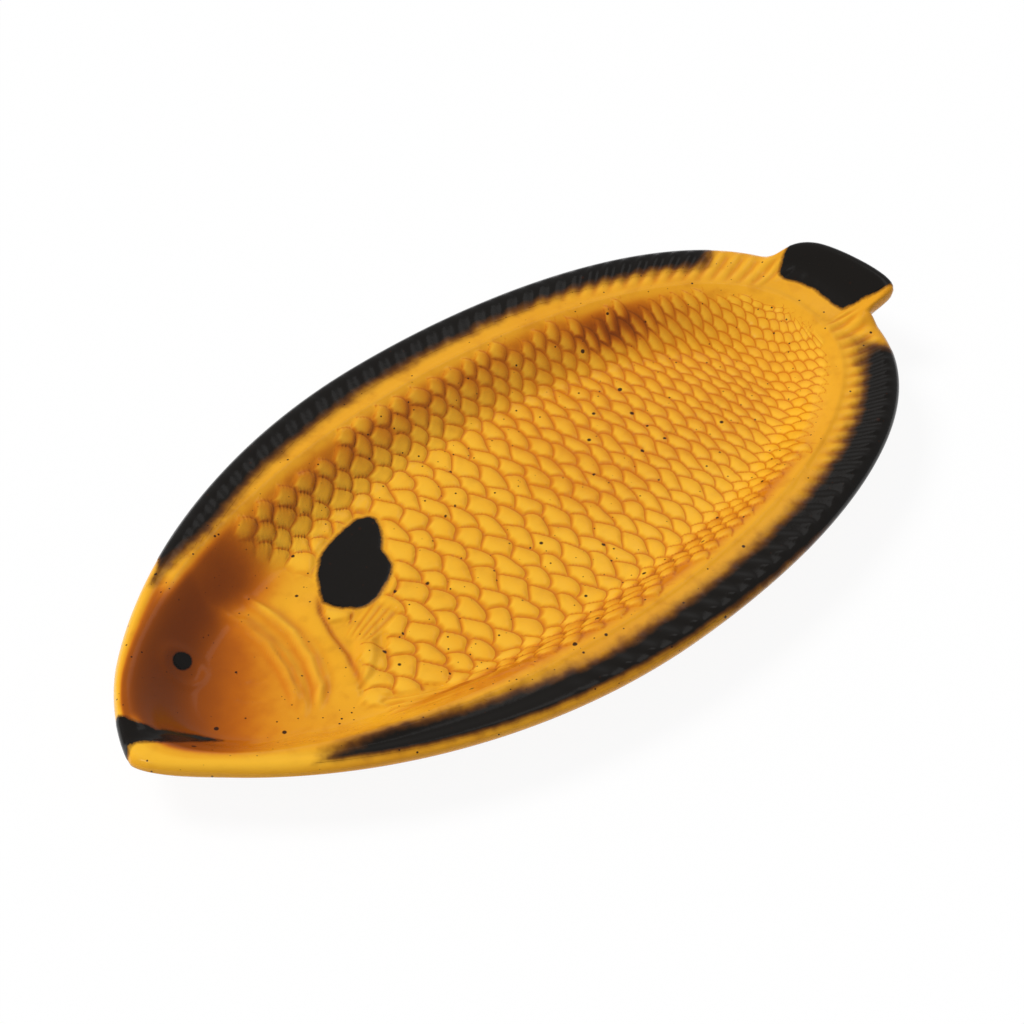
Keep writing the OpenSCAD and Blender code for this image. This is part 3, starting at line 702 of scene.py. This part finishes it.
    def pool(self, x, y, spread):
        """How thickly the amber glaze lies, from 0 where it is thin to 1 where it has pooled, with
        painted shade added on the head, the far wall, the back side of the nose and the tail end of the
        floor.
        """
        level = spread["level"]
        # cheek and brow darken the shaded side of the head: painted shade together with glaze that pools
        # in the head's hollow
        head = ramp(x, -88.0, -116.0)
        cheek = head * (0.27 + 0.85 * ramp(0.66 * y - 0.75 * x, 68.0, 124.0))
        brow_pool_and_shade = 0.95 * window(x, -130.0, -100.0, 36.0) * ramp(y, 22.0, 42.0)
        # Glaze pools a little on the walls; far raises this on the far wall, which lies in shade, so the
        # extra there is painted shade
        far = 0.16 + 0.42 * ramp(y, -4.0, 20.0)
        wall_pool_and_shade = window(level, 0.68, 0.72, 0.42) * far * (1.0 - 0.6 * ramp(x, 110.0, 140.0))
        across, along = to_line(x, y, *self.STAIN)
        stain = bump(across, 8.0) * bump(along - 0.5, 0.5)
        foot = 0.65 * bump(level - 0.38, 0.13) * (y < 0) * window(x, -70.0, 45.0, 40.0)
        # Painted shade: the floor darkens towards the tail end, as the light falls off there
        tail_end_shade = 0.4 * window(x, 40.0, 110.0, 60.0) * window(y, -10.0, 60.0, 35.0)
        near = 0.4 * ramp(level, 0.35, 0.65) * ramp(y, -4.0, -24.0) * window(x, -60.0, 70.0, 45.0)
        well = np.maximum.reduce([cheek, brow_pool_and_shade, wall_pool_and_shade, stain, foot, tail_end_shade]) + near
        edge = 0.15 * ramp(x, -150.0, -120.0)
        # side darkens the inner rim on the back side of the nose, which lies in shade: painted shade with
        # pooled glaze
        side = ramp(x, -112.0, -132.0) * ramp(y, 3.0, 11.0)
        edge = np.maximum(edge, 0.9 * side * ramp(spread["inset"], 3.0, 7.0))
        blend = ramp(level, 0.8, 1.0)
        return blend * edge + (1.0 - blend) * well

    def under_rows(self, a):
        """Rows of the underside, from the edge in to the hollow inside the foot ring."""
        edge = self.edge(a)
        crease = self.on_ring(self.crease_ring, a)
        inward = (crease - edge) / np.hypot(*(crease - edge).T)[:, None]
        lift = self.tail_lift(*edge.T)
        rows = []
        for turn in (math.pi / 6.0, math.pi / 3.0, math.pi / 2.0):
            inset = self.round * (1.0 - math.cos(turn))
            drop = self.round + (self.rim_clay - self.round) * math.sin(turn)
            rows.append((edge + inward * inset, self.rim_z - drop + lift))
        rows.append((edge + (crease - edge) * 0.6, self.rim_z - self.rim_clay - 0.8 + 0.3 * lift))
        for level in (0.95, 0.75, 0.5, 0.25, 0.08):
            z = self.wall_height(level) - self.clay - level
            rows.append((self.wall_points(self.floor_ring, level, a), np.full_like(a, z)))
        foot = self.foot_inset
        inner = foot + self.foot_width
        for inset, z in (
            (foot - 1.0, self.foot_height - 0.6), (foot - 0.2, 0.7), (foot + 0.6, 0.0),
            (inner - 0.6, 0.0), (inner + 0.2, 0.7), (inner + 1.0, self.foot_height - 0.6),
            (inner + 2.0, self.foot_height),
        ):
            ring = self.floor_ring - [inset, inset, inset, 0.0, 0.0]
            rows.append((self.on_ring(ring, a), np.full_like(a, z)))
        return [np.column_stack([self.turn_nose(xy), z]) for xy, z in rows]


class Nodes:
    """Adds and joins shader nodes in one tree."""

    def __init__(self, tree):
        self.tree = tree

    def feed(self, socket, value):
        if isinstance(value, bpy.types.NodeSocket):
            self.tree.links.new(value, socket)
        else:
            socket.default_value = value

    def add(self, kind, inputs=None, **settings):
        node = self.tree.nodes.new(kind)
        for name, value in settings.items():
            setattr(node, name, value)
        for name, value in (inputs or {}).items():
            self.feed(node.inputs[name], value)
        return node

    def math(self, operation, *values):
        node = self.add("ShaderNodeMath", operation=operation)
        for socket, value in zip(node.inputs, values):
            self.feed(socket, value)
        return node.outputs[0]

    def step(self, value, low, high):
        """Runs softly from 0 at one value to 1 at another."""
        inputs = {"Value": value, "From Min": low, "From Max": high}
        return self.add("ShaderNodeMapRange", inputs, interpolation_type="SMOOTHSTEP").outputs[0]

    def mix(self, factor, first, second):
        node = self.add("ShaderNodeMix", data_type="RGBA")
        for k, value in ((0, factor), (6, first), (7, second)):
            self.feed(node.inputs[k], value)
        return node.outputs[2]

    def attribute(self, name):
        vector = self.add("ShaderNodeAttribute", attribute_name=name).outputs["Vector"]
        return self.add("ShaderNodeSeparateXYZ", {"Vector": vector}).outputs

    def place(self):
        return self.add("ShaderNodeTexCoord").outputs["Object"]

    def noise(self, size, detail=2.0, roughness=0.5):
        """Noise whose features are about so many metres across."""
        inputs = {"Vector": self.place(), "Scale": 1.0 / size, "Detail": detail, "Roughness": roughness}
        return self.add("ShaderNodeTexNoise", inputs).outputs[0]


def new_group(name, inputs, outputs):
    """A shader node group with named sockets, and its input and output nodes."""
    tree = bpy.data.node_groups.new(name, "ShaderNodeTree")
    for names, in_out in ((inputs, "INPUT"), (outputs, "OUTPUT")):
        for socket, kind in names:
            tree.interface.new_socket(name=socket, in_out=in_out, socket_type=kind)
    nodes = Nodes(tree)
    return nodes, nodes.add("NodeGroupInput").outputs, nodes.add("NodeGroupOutput").inputs


def scale_edges_group(arch):
    """Grooves between the scales and their raised crowns, from the lattice that the surface carries."""
    outputs = (("Groove", "NodeSocketFloat"), ("Crown", "NodeSocketFloat"))
    nodes, _, out = new_group("Scale edges", (), outputs)
    c, r, own = nodes.attribute("lattice")
    before = nodes.attribute("cover")[2]
    row = nodes.math("FLOOR", r)
    tips, past = [], []
    for k in (0.0, 1.0):
        base = nodes.math("ADD", row, k)
        w = nodes.math("SUBTRACT", r, base)
        column = nodes.math("SUBTRACT", c, base)
        f = nodes.math("MULTIPLY_ADD", nodes.math("MULTIPLY", w, w), arch, column)
        passed = nodes.math("FLOORED_MODULO", f, 2.0)
        past.append(passed)
        tips.append(nodes.math("ADD", nodes.math("SUBTRACT", f, passed), base))
    lead = nodes.math("SUBTRACT", tips[0], tips[1])
    shown = []
    for passed, sign in zip(past, (1.0, -1.0)):
        hidden = nodes.math("GREATER_THAN", nodes.math("MULTIPLY", lead, sign), 2.0)
        shown.append(nodes.math("MULTIPLY_ADD", hidden, 9.0, passed))
    behind = nodes.math("MINIMUM", *shown)
    first = nodes.math("LESS_THAN", lead, 0.0)
    swap = nodes.math("MULTIPLY", first, nodes.math("SUBTRACT", past[0], past[1]))
    ahead = nodes.math("SUBTRACT", 2.0, nodes.math("ADD", past[1], swap))
    groove = nodes.math("MULTIPLY", nodes.step(behind, 0.55, 0.0), before)
    crown = nodes.math("MULTIPLY", nodes.step(behind, 0.15, 0.7), nodes.step(ahead, -0.2, 1.3))
    nodes.feed(out["Groove"], groove)
    nodes.feed(out["Crown"], nodes.math("MULTIPLY", crown, own))
    return nodes.tree


def specks_group():
    """Iron specks: small dark dots of many sizes, scattered thinly."""
    inputs = (("Spacing", "NodeSocketFloat"), ("Size", "NodeSocketFloat"))
    nodes, given, out = new_group("Iron specks", inputs, (("Mask", "NodeSocketFloat"),))
    density = nodes.math("DIVIDE", 1.0, given["Spacing"])
    cells = nodes.add("ShaderNodeTexVoronoi", {"Vector": nodes.place(), "Scale": density})
    chance = nodes.add("ShaderNodeSeparateColor", {"Color": cells.outputs["Color"]}).outputs
    rare = nodes.math("POWER", chance[0], 5.0)
    limit = nodes.math("MULTIPLY", nodes.math("MULTIPLY", rare, density), given["Size"])
    inner = nodes.math("MULTIPLY", limit, 0.7)
    edge = {"Value": cells.outputs["Distance"], "From Min": limit, "From Max": inner}
    nodes.feed(out["Mask"], nodes.add("ShaderNodeMapRange", edge).outputs[0])
    return nodes.tree


COLOURS = ("amber", "pale", "deep", "pool", "brown", "black", "speck")


def glaze_group(scale_edges, specks):
    """Amber glaze that pools and thins over the relief, with painted shade and a painted sheen laid in
    with it, and the dark glaze laid on it.
    """
    inputs = [(name.capitalize(), "NodeSocketColor") for name in COLOURS]
    outputs = [("Color", "NodeSocketColor")]
    outputs += [(name, "NodeSocketFloat") for name in ("Roughness", "Height")]
    nodes, given, out = new_group("Fired glaze", inputs, outputs)
    edges = nodes.add("ShaderNodeGroup", node_tree=scale_edges).outputs
    band, hard, _ = nodes.attribute("cover")
    pool, crest, groove = nodes.attribute("tint")
    wide = nodes.noise(0.045, 3.0)
    small = nodes.noise(0.006, 3.0)
    fine = nodes.noise(0.0012, 2.0)

    def share_of(value, amount):
        return nodes.math("MULTIPLY", value, amount)

    def off(noise, amount, value):
        """A value that noise shifts to both sides."""
        return nodes.math("MULTIPLY_ADD", nodes.math("SUBTRACT", noise, 0.5), amount, value)

    amber = given["Amber"]
    for mask, amount, name in (
        (nodes.step(wide, 0.3, 0.75), 0.3, "Pale"),
        (nodes.step(small, 0.45, 0.8), 0.2, "Pool"),
        (edges["Crown"], 0.6, "Pale"),
        (edges["Groove"], 0.9, "Deep"),
        # crest also carries the painted sheen on the nose lip, and groove the painted shade behind the
        # gill cover's edge
        (crest, 0.6, "Pale"),
        (groove, 0.9, "Deep"),
    ):
        amber = nodes.mix(share_of(mask, amount), amber, given[name])
    # The pool value carries pooled glaze and painted shade: these mixes lay deep amber, pooled amber and
    # brown on real pools and on the shaded head, far wall and tail end of the floor
    pooling_and_shade = nodes.math("MULTIPLY", pool, nodes.math("MULTIPLY_ADD", edges["Crown"], -0.55, 1.0))
    pooling_and_shade = off(small, 0.15, pooling_and_shade)
    amber = nodes.mix(nodes.step(pooling_and_shade, 0.0, 0.8), amber, given["Deep"])
    amber = nodes.mix(nodes.step(pooling_and_shade, 0.4, 1.05), amber, given["Pool"])
    dense_pool_and_shade = nodes.math("MULTIPLY", edges["Groove"], nodes.step(pool, 0.3, 0.9))
    dense_pool_and_shade = nodes.math("MAXIMUM", dense_pool_and_shade, nodes.step(pool, 0.78, 1.2))
    amber = nodes.mix(share_of(dense_pool_and_shade, 0.45), amber, given["Brown"])

    ragged = off(wide, 4.0, off(small, 4.0, band))
    ragged = nodes.math("MULTIPLY_ADD", crest, -1.3, ragged)
    tone = nodes.mix(share_of(nodes.step(ragged, -5.0, 1.0), 0.9), amber, given["Brown"])
    tone = nodes.mix(nodes.step(ragged, -1.5, 3.0), tone, given["Black"])
    crisp = off(fine, 0.8, off(small, 1.8, hard))
    tone = nodes.mix(share_of(nodes.step(crisp, 1.5, 0.2), 0.7), tone, given["Brown"])
    tone = nodes.mix(nodes.step(crisp, 0.4, -0.4), tone, given["Black"])

    dots = [
        nodes.add("ShaderNodeGroup", {"Spacing": spacing, "Size": size}, node_tree=specks).outputs[0]
        for spacing, size in ((0.0055, 0.0011), (0.0022, 0.0005))
    ]
    tone = nodes.mix(share_of(nodes.math("MAXIMUM", *dots), 0.95), tone, given["Speck"])

    rough = nodes.math("MULTIPLY_ADD", small, 0.1, 0.13)
    height = nodes.math("MULTIPLY_ADD", fine, 0.1, nodes.math("MULTIPLY", small, 0.35))
    for socket, value in (("Color", tone), ("Roughness", rough), ("Height", height)):
        nodes.feed(out[socket], value)
    return nodes.tree


def glaze_tree(relief):
    """The shared glaze group, made when it is first asked for."""
    made = bpy.data.node_groups.get("Fired glaze")
    return made or glaze_group(scale_edges_group(relief.scale_arch), specks_group())


def glaze_nodes(material, settings):
    """Places the shared glaze in a material, and hands back its outputs and the shader."""
    nodes = Nodes(material.node_tree)
    group = nodes.add("ShaderNodeGroup", node_tree=glaze_tree(settings.relief))
    for name in COLOURS:
        group.inputs[name.capitalize()].default_value = (*getattr(settings.glaze, name), 1.0)
    shader = material.node_tree.nodes["Principled BSDF"]
    shader.inputs["Specular IOR Level"].default_value = 0.28
    relief = nodes.add("ShaderNodeBump", {"Height": group.outputs["Height"]})
    relief.inputs["Strength"].default_value = 0.6
    relief.inputs["Distance"].default_value = 0.4 * MM
    nodes.feed(shader.inputs["Normal"], relief.outputs[0])
    return nodes, group.outputs, shader


def new_material(name):
    material = bpy.data.materials.new(name)
    material.use_nodes = True
    return material


def amber_material(settings):
    """Amber glaze all over the dish, left off the foot ring, where the clay is bare."""
    material = new_material("Amber glaze")
    nodes, glaze, shader = glaze_nodes(material, settings)
    colours = settings.glaze
    height = nodes.add("ShaderNodeSeparateXYZ", {"Vector": nodes.place()}).outputs["Z"]
    bare = nodes.step(height, 1.3 * MM, 0.7 * MM)
    grit = nodes.step(nodes.noise(0.0009, 2.0), 0.35, 0.7)
    clay = nodes.mix(nodes.math("MULTIPLY", grit, 0.35), (*colours.clay, 1.0), (*colours.pool, 1.0))
    nodes.feed(shader.inputs["Base Color"], nodes.mix(bare, glaze["Color"], clay))
    nodes.feed(shader.inputs["Roughness"], nodes.math("MULTIPLY_ADD", bare, 0.6, glaze["Roughness"]))
    return material


def dark_material(settings):
    """Dark glaze, with the same edge as the amber glaze under it."""
    material = new_material("Dark glaze")
    nodes, glaze, shader = glaze_nodes(material, settings)
    nodes.feed(shader.inputs["Base Color"], glaze["Color"])
    nodes.feed(shader.inputs["Roughness"], glaze["Roughness"])
    return material


def new_object(name, data):
    """Puts an object in the scene."""
    made = bpy.data.objects.new(name, data)
    bpy.context.scene.collection.objects.link(made)
    return made


def new_piece(name, bm, material, slot, *nodes):
    """Makes an object of a finished mesh, which rides on the dish and replaces CAD nodes."""
    mesh = bpy.data.meshes.new(name)
    bm.to_mesh(mesh)
    bm.free()
    mesh.shade_smooth()
    mesh.materials.append(material)
    piece = new_object(name, mesh)
    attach(piece, "root")
    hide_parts(*nodes)
    return piece


class PLATTER_OT_body(Operator):
    """Model the stoneware dish with its relief and its foot ring"""

    bl_idname = "platter.body"
    bl_label = "Stoneware body"

    STEPS = (352, 216)

    def execute(self, context):
        settings = context.scene.platter
        surface = Surface(settings)
        bm = bmesh.new()
        bmesh.ops.create_grid(bm, x_segments=self.STEPS[0], y_segments=self.STEPS[1], size=1.0)
        bm.verts.ensure_lookup_table()
        grid = np.array([v.co[:2] for v in bm.verts])
        places, angles, marks = surface.top(*grid.T)
        layers = {name: bm.verts.layers.float_vector.new(name) for name in ("lattice", "cover", "tint")}
        turn = bm.verts.layers.float.new("turn")
        for k, vert in enumerate(bm.verts):
            vert.co = places[k] * MM
            vert[turn] = angles[k]
            for name, layer in layers.items():
                vert[layer] = marks[name][k]
        bm.normal_update()
        for vert, height in zip(bm.verts, marks["height"]):
            vert.co += vert.normal * float(height * MM)
        self.close_underside(bm, surface, turn, layers)
        bm.verts.layers.float.remove(turn)
        new_piece(BODY, bm, amber_material(settings), "amber_glaze", "stoneware_body")
        return {"FINISHED"}

    def close_underside(self, bm, surface, turn, layers):
        """Draws the edge in under the dish, row by row, and closes the hollow of the foot ring."""
        edges = [edge for edge in bm.edges if edge.is_boundary]
        rim = sorted({vert for edge in edges for vert in edge.verts}, key=lambda vert: vert.index)
        angles = np.array([vert[turn] for vert in rim])
        order = {float(a): k for k, a in enumerate(angles)}
        plain = {"lattice": (0.0, 0.0, 0.0), "cover": (-20.0, 20.0, 0.0), "tint": (0.0, 0.0, 0.0)}
        for count, row in enumerate(surface.under_rows(angles)):
            drawn = bmesh.ops.extrude_edge_only(bm, edges=edges)["geom"]
            edges = [item for item in drawn if isinstance(item, bmesh.types.BMEdge)]
            for vert in (item for item in drawn if isinstance(item, bmesh.types.BMVert)):
                vert.co = row[order[float(vert[turn])]] * MM
                for name, layer in layers.items():
                    vert[layer] = vert[layer] if count < 2 else plain[name]
            edges = [edge for edge in edges if edge.is_boundary]
        bmesh.ops.edgeloop_fill(bm, edges=edges)
        bmesh.ops.recalc_face_normals(bm, faces=bm.faces[:])


# Dark coats: how far they may reach past the CAD coat's box, how far their edge stands off the
# dish, how far in from the edge they are full, how deep they sit, and the angle of a sharp edge
COAT_REACH = 12.0 * MM
COAT_EDGE = 0.03 * MM
COAT_RUN = 1.6
COAT_SEAT = 0.45 * MM
COAT_SHARP = 0.8


def coat_from_body(context, name, node, depth):
    """Lifts a coat of dark glaze off the dish's own surface.

    depth gives how far, in millimetres, a place lies inside the coat's edge.
    """
    body = context.scene.objects.get(BODY)
    if body is None:
        raise RuntimeError("Make the stoneware body before its dark glaze")
    settings = context.scene.platter
    low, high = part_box(node)
    bm = bmesh.new()
    bm.from_mesh(body.data)
    cover = bm.verts.layers.float_vector["cover"]

    def inside(vert):
        near = all(low[k] - COAT_REACH < vert.co[k] < high[k] + COAT_REACH for k in (0, 1))
        return near and depth(vert[cover]) > 0.0

    kept = {vert for vert in bm.verts if inside(vert)}
    bare = [face for face in bm.faces if not all(vert in kept for vert in face.verts)]
    bmesh.ops.delete(bm, geom=bare, context="FACES")
    if not bm.faces:
        raise RuntimeError("No surface lies under " + node)
    coat = settings.relief.coat
    bm.normal_update()
    lifts = [(vert, vert.normal.copy(), depth(vert[cover])) for vert in bm.verts]
    for vert, normal, deep in lifts:
        vert.co += normal * (COAT_EDGE + coat * float(ease(deep / COAT_RUN)))
    bmesh.ops.solidify(bm, geom=bm.faces[:], thickness=COAT_SEAT)
    bmesh.ops.recalc_face_normals(bm, faces=bm.faces[:])
    for edge in bm.edges:
        edge.smooth = edge.calc_face_angle(0.0) < COAT_SHARP
    material = bpy.data.materials.get("Dark glaze") or dark_material(settings)
    return new_piece(name, bm, material, "dark_glaze", node)


class PLATTER_OT_rim_bands(Operator):
    """Lay the dark glaze along the back fin and the belly fin"""

    bl_idname = "platter.rim_bands"
    bl_label = "Rim bands"

    def execute(self, context):
        for name in ("back_rim_glaze", "belly_rim_glaze"):
            coat_from_body(context, "dark_" + name, name, lambda cover: cover[0] + 2.0)
        return {"FINISHED"}


class PLATTER_OT_spots(Operator):
    """Lay the dark glaze on the side fin, the eye, the mouth and the tail fin"""

    bl_idname = "platter.spots"
    bl_label = "Dark spots"

    def execute(self, context):
        for name in ("side_fin_glaze", "eye_glaze", "mouth_glaze", "tail_glaze"):
            coat_from_body(context, "dark_" + name, name, lambda cover: 0.9 - cover[1])
        return {"FINISHED"}


def direction(turn, height, side):
    """Direction from the dish to a light or the camera.

    Side is 1 for the back fin's side and -1 for the belly's, and turn runs from there to the tail.
    """
    level = math.cos(height)
    return Vector((math.sin(turn) * level, side * math.cos(turn) * level, math.sin(height)))


class PLATTER_OT_stage(Operator):
    """Set up the floor, the lights and the camera"""

    bl_idname = "platter.stage"
    bl_label = "Stage"

    FLOOR_RADIUS = 8.0
    FLOOR_GAP = 0.2 * MM
    SENSOR_WIDTH = 36.0
    # Name and width of each panel that the glaze reflects, and where it lies from the dish
    PANELS = (("sheen", 0.65, (0.466, 0.3, 0.832)), ("glint", 0.2, (-0.67, 0.1, 0.73)))
    PANEL_DISTANCE = 2.0

    def execute(self, context):
        stage = context.scene.platter.stage
        self.add_floor(stage)
        self.add_lights(stage)
        self.add_surroundings(context, stage)
        self.add_camera(context, stage)
        context.scene.view_settings.view_transform = "Standard"
        return {"FINISHED"}

    def add_floor(self, stage):
        """A wide round floor, just clear of the foot ring."""
        bm = bmesh.new()
        bmesh.ops.create_circle(bm, cap_ends=True, radius=self.FLOOR_RADIUS, segments=64)
        bmesh.ops.translate(bm, verts=bm.verts[:], vec=(0.0, 0.0, -self.FLOOR_GAP))
        mesh = bpy.data.meshes.new("floor")
        bm.to_mesh(mesh)
        bm.free()
        mesh.materials.append(self.floor_material(stage))
        new_object("floor", mesh)

    def floor_material(self, stage):
        """Pale floor that looks white to the camera and keeps a soft shadow."""
        material = new_material("Pale floor")
        nodes = Nodes(material.node_tree)
        shader = material.node_tree.nodes["Principled BSDF"]
        shader.inputs["Base Color"].default_value = (*stage.floor, 1.0)
        shader.inputs["Roughness"].default_value = 1.0
        shader.inputs["Specular IOR Level"].default_value = 0.0
        ray = nodes.add("ShaderNodeLightPath").outputs
        seen = nodes.math("MAXIMUM", ray["Is Camera Ray"], ray["Is Glossy Ray"])
        seen = nodes.math("MAXIMUM", seen, ray["Is Transmission Ray"])
        white = nodes.add("ShaderNodeEmission")
        blend = nodes.add("ShaderNodeMixShader")
        nodes.feed(blend.inputs[0], nodes.math("MULTIPLY", seen, 0.93))
        nodes.feed(blend.inputs[1], shader.outputs[0])
        nodes.feed(blend.inputs[2], white.outputs[0])
        nodes.feed(material.node_tree.nodes["Material Output"].inputs["Surface"], blend.outputs[0])
        return material

    def add_lights(self, stage):
        """A soft key light from behind the back fin, and the panels that the glaze reflects."""
        lamp = bpy.data.lights.new("key", "SUN")
        lamp.energy = stage.key
        lamp.angle = stage.key_size
        key = new_object("key", lamp)
        source = direction(stage.key_turn, stage.key_height, 1.0)
        key.rotation_euler = source.to_track_quat("Z", "Y").to_euler()
        key.visible_glossy = False
        for name, width, place in self.PANELS:
            lamp = bpy.data.lights.new(name, "AREA")
            lamp.energy = getattr(stage, name)
            lamp.size = width
            panel = new_object(name, lamp)
            source = Vector(place).normalized()
            panel.location = source * self.PANEL_DISTANCE
            panel.rotation_euler = source.to_track_quat("Z", "Y").to_euler()

    def add_surroundings(self, context, stage):
        """Even light from all round, which is white where the camera sees it."""
        world = bpy.data.worlds.new("studio")
        world.use_nodes = True
        nodes = Nodes(world.node_tree)
        background = world.node_tree.nodes["Background"]
        background.inputs["Color"].default_value = (0.96, 0.98, 1.0, 1.0)
        seen = nodes.add("ShaderNodeLightPath").outputs["Is Camera Ray"]
        nodes.feed(background.inputs["Strength"], nodes.math("MAXIMUM", seen, stage.fill))
        context.scene.world = world

    def add_camera(self, context, stage):
        """A camera over the belly fin, that looks down at the dish from the nose's side."""
        lens = bpy.data.cameras.new("camera")
        lens.lens = stage.lens
        lens.sensor_width = self.SENSOR_WIDTH
        lens.clip_start = 0.05
        lens.clip_end = 100.0
        camera = new_object("camera", lens)
        back = direction(stage.azimuth, stage.elevation, -1.0)
        camera.location = Vector(stage.target) + back * stage.distance
        camera.rotation_euler = (-back).to_track_quat("-Z", "Y").to_euler()
        context.scene.camera = camera


class PlatterSettings(PropertyGroup):
    """All settings of the platter."""

    dish: PointerProperty(type=PlatterDish)
    relief: PointerProperty(type=PlatterRelief)
    glaze: PointerProperty(type=PlatterGlaze)
    stage: PointerProperty(type=PlatterStage)


OPERATORS = (PLATTER_OT_body, PLATTER_OT_rim_bands, PLATTER_OT_spots, PLATTER_OT_stage)


class PLATTER_PT_sidebar(Panel):
    """Settings and steps of the platter"""

    bl_idname = "PLATTER_PT_sidebar"
    bl_label = "Fish Platter"
    bl_space_type = "VIEW_3D"
    bl_region_type = "UI"
    bl_category = "Platter"

    def draw(self, context):
        settings = context.scene.platter
        for name in ("dish", "relief", "glaze", "stage"):
            group = getattr(settings, name)
            box = self.layout.box()
            box.label(text=name.capitalize())
            for prop in group.__annotations__:
                box.prop(group, prop)
        for operator in OPERATORS:
            self.layout.operator(operator.bl_idname)


GROUPS = (PlatterDish, PlatterRelief, PlatterGlaze, PlatterStage, PlatterSettings)
CLASSES = (*GROUPS, *OPERATORS, PLATTER_PT_sidebar)


def register():
    for cls in CLASSES:
        bpy.utils.register_class(cls)
    bpy.types.Scene.platter = PointerProperty(type=PlatterSettings)


def unregister():
    del bpy.types.Scene.platter
    for cls in reversed(CLASSES):
        bpy.utils.unregister_class(cls)


def main():
    register()
    bpy.ops.platter.body()
    bpy.ops.platter.rim_bands()
    bpy.ops.platter.spots()
    bpy.ops.platter.stage()


if __name__ == "__main__":
    main()
